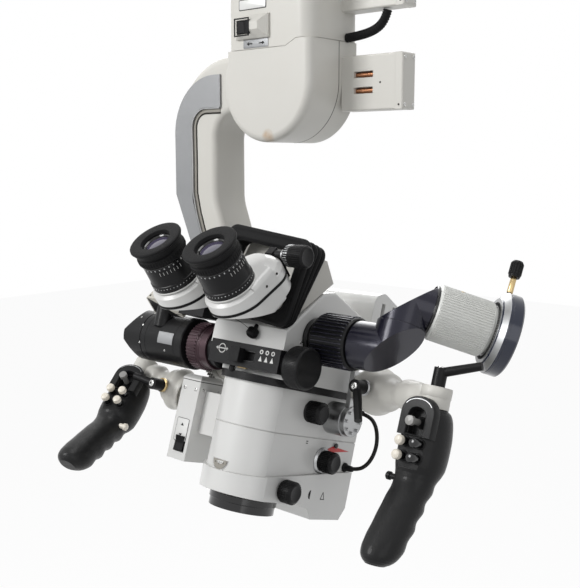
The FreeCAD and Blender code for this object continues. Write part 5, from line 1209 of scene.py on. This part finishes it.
class MICRO_OT_handles(bpy.types.Operator):
    """Add the grips' faceplates, caps, keys and screws"""
    bl_idname = "micro.handles"
    bl_label = "Dress the handles"

    def execute(self, context):
        sizes = measures(context.scene.micro_grip)
        eyes = {"right": HEAD @ shift(*RIGHT_EYE) @ turn(-2, "X"),
                "left": HEAD @ shift(*LEFT_EYE) @ turn(21, "Z") @ turn(-33, "X")}
        for tag, eye in eyes.items():
            grip = eye @ shift(0, 0, -(sizes.drop_right if tag == "right" else sizes.drop))
            body = tag + "_handle"
            self.head(tag, grip, sizes.half, body)
            self.keys(tag, grip, sizes, body)
            joy = grip @ shift(0, -sizes.stick_set, -sizes.stick_drop) @ FACING
            piece(tag + "_boot", lathe([(5.2, 0.8), (4.6, 1.8), (3.6, 2.6), (3.2, 4.0), (2.65, 5.4)], 48),
                  joy, tag + "_stick", "rubber", 70)
            piece(tag + "_eye_rim", lathe([(13, 1), (13.25, 1.4), (13.25, 8.4), (13, 8.8)], 96), eye,
                  tag + "_arm", "cream")
            piece(tag + "_grip_seam", lathe([(11.2, 0.05), (12.6, 0.25), (11.2, 0.28)], 72, True), grip,
                  tag + "_arm", "seam")
            piece(tag + "_grip_lever_screw", screw(3.4, 1.0), eye @ shift(0, 0, sizes.eye_rise + LEVER_TOP),
                  tag + "_grip_clamp", "steel")
        for tag, foot, eye in (("right", Vector((62, 62, 134)), Vector(RIGHT_EYE)),
                               ("left", Vector((-104, 12, 92)), Vector(LEFT_EYE))):
            middle = foot + (eye - foot) * 0.3 + Vector((0, -23.5, 0))
            place = HEAD @ Matrix.Translation(middle) @ FACING
            piece(tag + "_arm_lever_screw", screw(3.4, 1.0), place @ shift(0, 0, LEVER_TOP),
                  tag + "_arm_clamp", "steel")
            piece(tag + "_arm_lever_collar", lathe([(4, 0.2), (7.4, 0.4), (7.4, 2.2), (6.2, 2.8)], 48),
                  place, tag + "_arm_clamp", "brass" if tag == "left" else "satin")
        return {"FINISHED"}

    def head(self, tag, grip, half, body):
        """The arched head of a grip: a frame round the joystick's window that also covers the arm's eye."""
        steps = 20

        def arch(wide, foot, rise, low):
            angles = [math.pi * n / steps for n in range(steps + 1)]
            curve = [(wide * math.cos(angle), foot + (rise - foot) * math.sin(angle) ** 0.85)
                     for angle in angles]
            return [(wide, low)] + curve + [(-wide, low)]
        wide = 0.87 * half
        outer, eased = arch(wide, -8, 7.4, -26), arch(wide - 1.2, -8, 6.2, -25.4)
        window, sill = arch(8.8, -10, -1.6, -25), arch(7.8, -10, -2.4, -24.4)
        loops = [[(x, z, depth) for x, z in points] for points, depth in
                 ((outer, 0), (outer, 6.8), (eased, 8.4), (window, 8.4), (sill, 7.2), (sill, 0))]
        piece(tag + "_head", skin(loops, closed=True), grip @ shift(0, -14.6, 0) @ FACING, body, "grip", 40)
        line = [(x * 0.82, z * 0.72 - 0.4) for x, z in outer[4:-4]]
        ribbon(line, 0.55, 0.2, "satin", tag + "_head_line", grip @ shift(0, -22.95, 0) @ FACING, body)

    def keys(self, tag, grip, sizes, body):
        """Collars and caps of the four front keys, and the one at the side."""
        panel = grip @ shift(0, -sizes.panel, 0) @ FACING
        spots = [(side * sizes.key_side, -sizes.key_drop - sizes.key_step * row) for side in (-1, 1)
                 for row in range(2)]
        button = sizes.button
        collar = [(button - 0.6, -0.4), (button + 1.0, -0.4), (button + 1.0, 0.5), (button + 0.4, 1.0),
                  (button - 0.6, 1.0)]
        cluster(tag + "_key_collars", [(lathe(collar, 40, True), panel @ shift(x, z, 0)) for x, z in spots],
                body, "plastic")
        profile = [(0, 10.4), (2.2, 10.3), (3.6, 9.6), (4.2, 8.4), (4.2, 5.6), (3.4, 5.0), (3.4, 4.0)]
        caps = [(lathe(profile, 40), grip @ shift(x, -1.2 * sizes.half + 0.2, z) @ FACING) for x,
                z in spots]
        pale = 2 if tag == "right" else 4
        cluster(tag + "_key_caps", caps[:pale], tag + "_keys", "button")
        if caps[pale:]:
            cluster(tag + "_dark_caps", caps[pale:], tag + "_keys", "gloss_black")
        side, out, finish = (-1, ALONG_LEFT, "plastic") if tag == "right" else (1, ALONG_X, "button")
        piece(tag + "_side_key", lathe([(0, 8.4), (2.6, 8.2), (3.6, 7.2), (3.6, 4.4), (2.6, 4.0),
                                        (2.6, -2)], 40), grip @ shift(side * sizes.half * 0.78, -12, -62)
              @ out, body, finish)


# Routes in millimetres: the conduit's in the hub's frame, the lead's in the head's
CONDUIT_ROUTE = ((54.3, 19, 40), (71, 19, 41), (88, 19, 45), (97, 19, 53), (99, 19.4, 61))
LEAD_ROUTE = ((37.3, 100, 110), (54, 100, 110), (68, 98, 101), (74, 97, 82), (68, 98, 63), (54, 99, 53),
              (37.3, 101, 53))
LEAD_RADIUS = 2.0


class MICRO_OT_cables(bpy.types.Operator):
    """Build the ribbed conduit and the rear lead"""
    bl_idname = "micro.cables"
    bl_label = "Build the cables"

    def execute(self, context):
        metres = Matrix.Scale(MM, 4)
        conduit = [metres @ HUB @ Vector(point) for point in CONDUIT_ROUTE]
        ribs, valley, crest = 25, 3.5, 4.15
        profile = [(min((number + part) / ribs, 1), radius * MM) for number in range(ribs)
                   for part, radius in ((0.0, valley), (0.25, crest), (0.65, crest), (0.9, valley))]
        obj = piece("conduit_ribbed", along(route(conduit), profile), None, "root", "rubber", 60)
        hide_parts("conduit")
        lead = [metres @ HEAD @ Vector(point) for point in LEAD_ROUTE]
        data = cable_curve("lead_sheath", lead, LEAD_RADIUS * MM)
        data.materials.append(FINISHES["hose"])
        obj = bpy.data.objects.new("lead_sheath", data)
        context.scene.collection.objects.link(obj)
        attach(obj, "head")
        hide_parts("rear_lead")
        line = route(lead, 24)
        boot = [(0, 0.2), (4.6, 0.2), (4.6, 1.6), (3.2, 2.6), (3.0, 9), (2.4, 11), (2.05, 11.2)]
        cluster("lead_boots", [(lathe(boot, 40), HEAD @ shift(37, y, z) @ ALONG_X) for x, y, z in
                               (LEAD_ROUTE[0], LEAD_ROUTE[-1])], "head", "rubber")
        return {"FINISHED"}


class MICRO_OT_stage(bpy.types.Operator):
    """Add the pale floor, the soft light and the camera"""
    bl_idname = "micro.stage"
    bl_label = "Set the stage"

    def execute(self, context):
        scene = context.scene
        self.floor(scene)
        self.world(scene)
        self.lamps(scene)
        data = bpy.data.cameras.new("camera")
        data.sensor_fit, data.sensor_width, data.lens = "HORIZONTAL", 36, 55.862
        camera = bpy.data.objects.new("camera", data)
        camera.location = (0.5716, -0.6554, -0.2237)
        camera.rotation_euler = (math.radians(81.5), 0, math.radians(41))
        scene.collection.objects.link(camera)
        scene.camera = camera
        scene.view_settings.view_transform = "Standard"
        return {"FINISHED"}

    def floor(self, scene):
        """A pale sheet well below the object, which glows towards the camera."""
        half, level, glow_share = 6, -1.35, 0.94
        mesh = bpy.data.meshes.new("floor")
        mesh.from_pydata([(-half, -half, level), (half, -half, level), (half, half, level),
                          (-half, half, level)], [], [(0, 1, 2, 3)])
        floor = bpy.data.objects.new("floor", mesh)
        scene.collection.objects.link(floor)
        paint = bpy.data.materials.new("floor_paint")
        paint.use_nodes = True
        tree = paint.node_tree
        shader = tree.nodes["Principled BSDF"]
        shader.inputs["Base Color"].default_value = (.86, .86, .86, 1)
        shader.inputs["Roughness"].default_value = 0.9
        mesh.materials.append(paint)
        glow = tree.nodes.new("ShaderNodeEmission")
        glow.inputs["Color"].default_value = (1, 1, 1, 1)
        self.mix(tree, math_node(tree, "MULTIPLY", self.seen(tree), glow_share), shader, glow,
                 "Material Output")

    def world(self, scene):
        """A soft grey sky that the camera sees as white."""
        world = bpy.data.worlds.new("studio")
        scene.world = world
        world.use_nodes = True
        tree = world.node_tree
        sky = tree.nodes["Background"]
        sky.inputs["Color"].default_value = (.90, .91, .93, 1)
        sky.inputs["Strength"].default_value = 0.42
        white = tree.nodes.new("ShaderNodeBackground")
        white.inputs["Color"].default_value = (1, 1, 1, 1)
        self.mix(tree, self.seen(tree), sky, white, "World Output")

    def mix(self, tree, share, first, second, output):
        """Two shaders, blended by a share, on a tree's output."""
        node = tree.nodes.new("ShaderNodeMixShader")
        tree.links.new(share, node.inputs[0])
        tree.links.new(first.outputs[0], node.inputs[1])
        tree.links.new(second.outputs[0], node.inputs[2])
        tree.links.new(node.outputs[0], tree.nodes[output].inputs["Surface"])

    def lamps(self, scene):
        """Four square lamps that all face the head."""
        aim = Vector((0.02, -0.05, -0.38))
        for name, spot, size, power in (("key", (-0.8, -1.6, 0.6), 0.8, 27),
                                        ("fill", (1.5, -1.0, 0.1), 1.2, 4.5),
                                        ("top", (0.1, 0.1, 1.1), 1.0, 12),
                                        ("rim", (-1.0, 1.2, 0.4), 0.9, 9)):
            data = bpy.data.lights.new(name, "AREA")
            data.shape, data.size, data.energy = "SQUARE", size, power
            lamp = bpy.data.objects.new(name, data)
            lamp.location = spot
            lamp.rotation_euler = (aim - Vector(spot)).to_track_quat("-Z", "Y").to_euler()
            scene.collection.objects.link(lamp)

    def seen(self, tree):
        """One where a ray comes straight from the camera, or by a mirror or glass."""
        path = tree.nodes.new("ShaderNodeLightPath")
        both = math_node(tree, "MAXIMUM", path.outputs["Is Camera Ray"], path.outputs["Is Glossy Ray"])
        return math_node(tree, "MAXIMUM", both, path.outputs["Is Transmission Ray"])


STEPS = (MICRO_OT_stage, MICRO_OT_paint, MICRO_OT_cables, MICRO_OT_housing, MICRO_OT_arm, MICRO_OT_carrier,
         MICRO_OT_selector, MICRO_OT_camera, MICRO_OT_port, MICRO_OT_binocular, MICRO_OT_bellows,
         MICRO_OT_handles)
GROUPS = {"micro_binocular": BinocularMeasures, "micro_bellows": BellowsMeasures,
          "micro_carrier": CarrierMeasures, "micro_port": PortMeasures, "micro_camera": CameraMeasures,
          "micro_grip": GripMeasures, "micro_arm": ArmMeasures, "micro_paint": PaintColours}


class MICRO_PT_panel(bpy.types.Panel):
    """Measures and steps of the microscope's looks"""
    bl_idname = "MICRO_PT_panel"
    bl_label = "Operating microscope"
    bl_space_type = "VIEW_3D"
    bl_region_type = "UI"
    bl_category = "Microscope"

    def draw(self, context):
        for name in GROUPS:
            box = self.layout.box()
            for key in getattr(context.scene, name).__annotations__:
                box.prop(getattr(context.scene, name), key)
        for step in STEPS:
            self.layout.operator(step.bl_idname)


def register():
    """Register the measures, the steps and the panel."""
    for name, group in GROUPS.items():
        bpy.utils.register_class(group)
        setattr(bpy.types.Scene, name, PointerProperty(type=group))
    for item in (*STEPS, MICRO_PT_panel):
        bpy.utils.register_class(item)


def unregister():
    """Take away what register added."""
    for item in (MICRO_PT_panel, *reversed(STEPS)):
        bpy.utils.unregister_class(item)
    for name, group in GROUPS.items():
        delattr(bpy.types.Scene, name)
        bpy.utils.unregister_class(group)


def main():
    """Run every step in order."""
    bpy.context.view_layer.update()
    register()
    for step in STEPS:
        family, name = step.bl_idname.split(".")
        getattr(getattr(bpy.ops, family), name)()


if __name__ == "__main__":
    main()
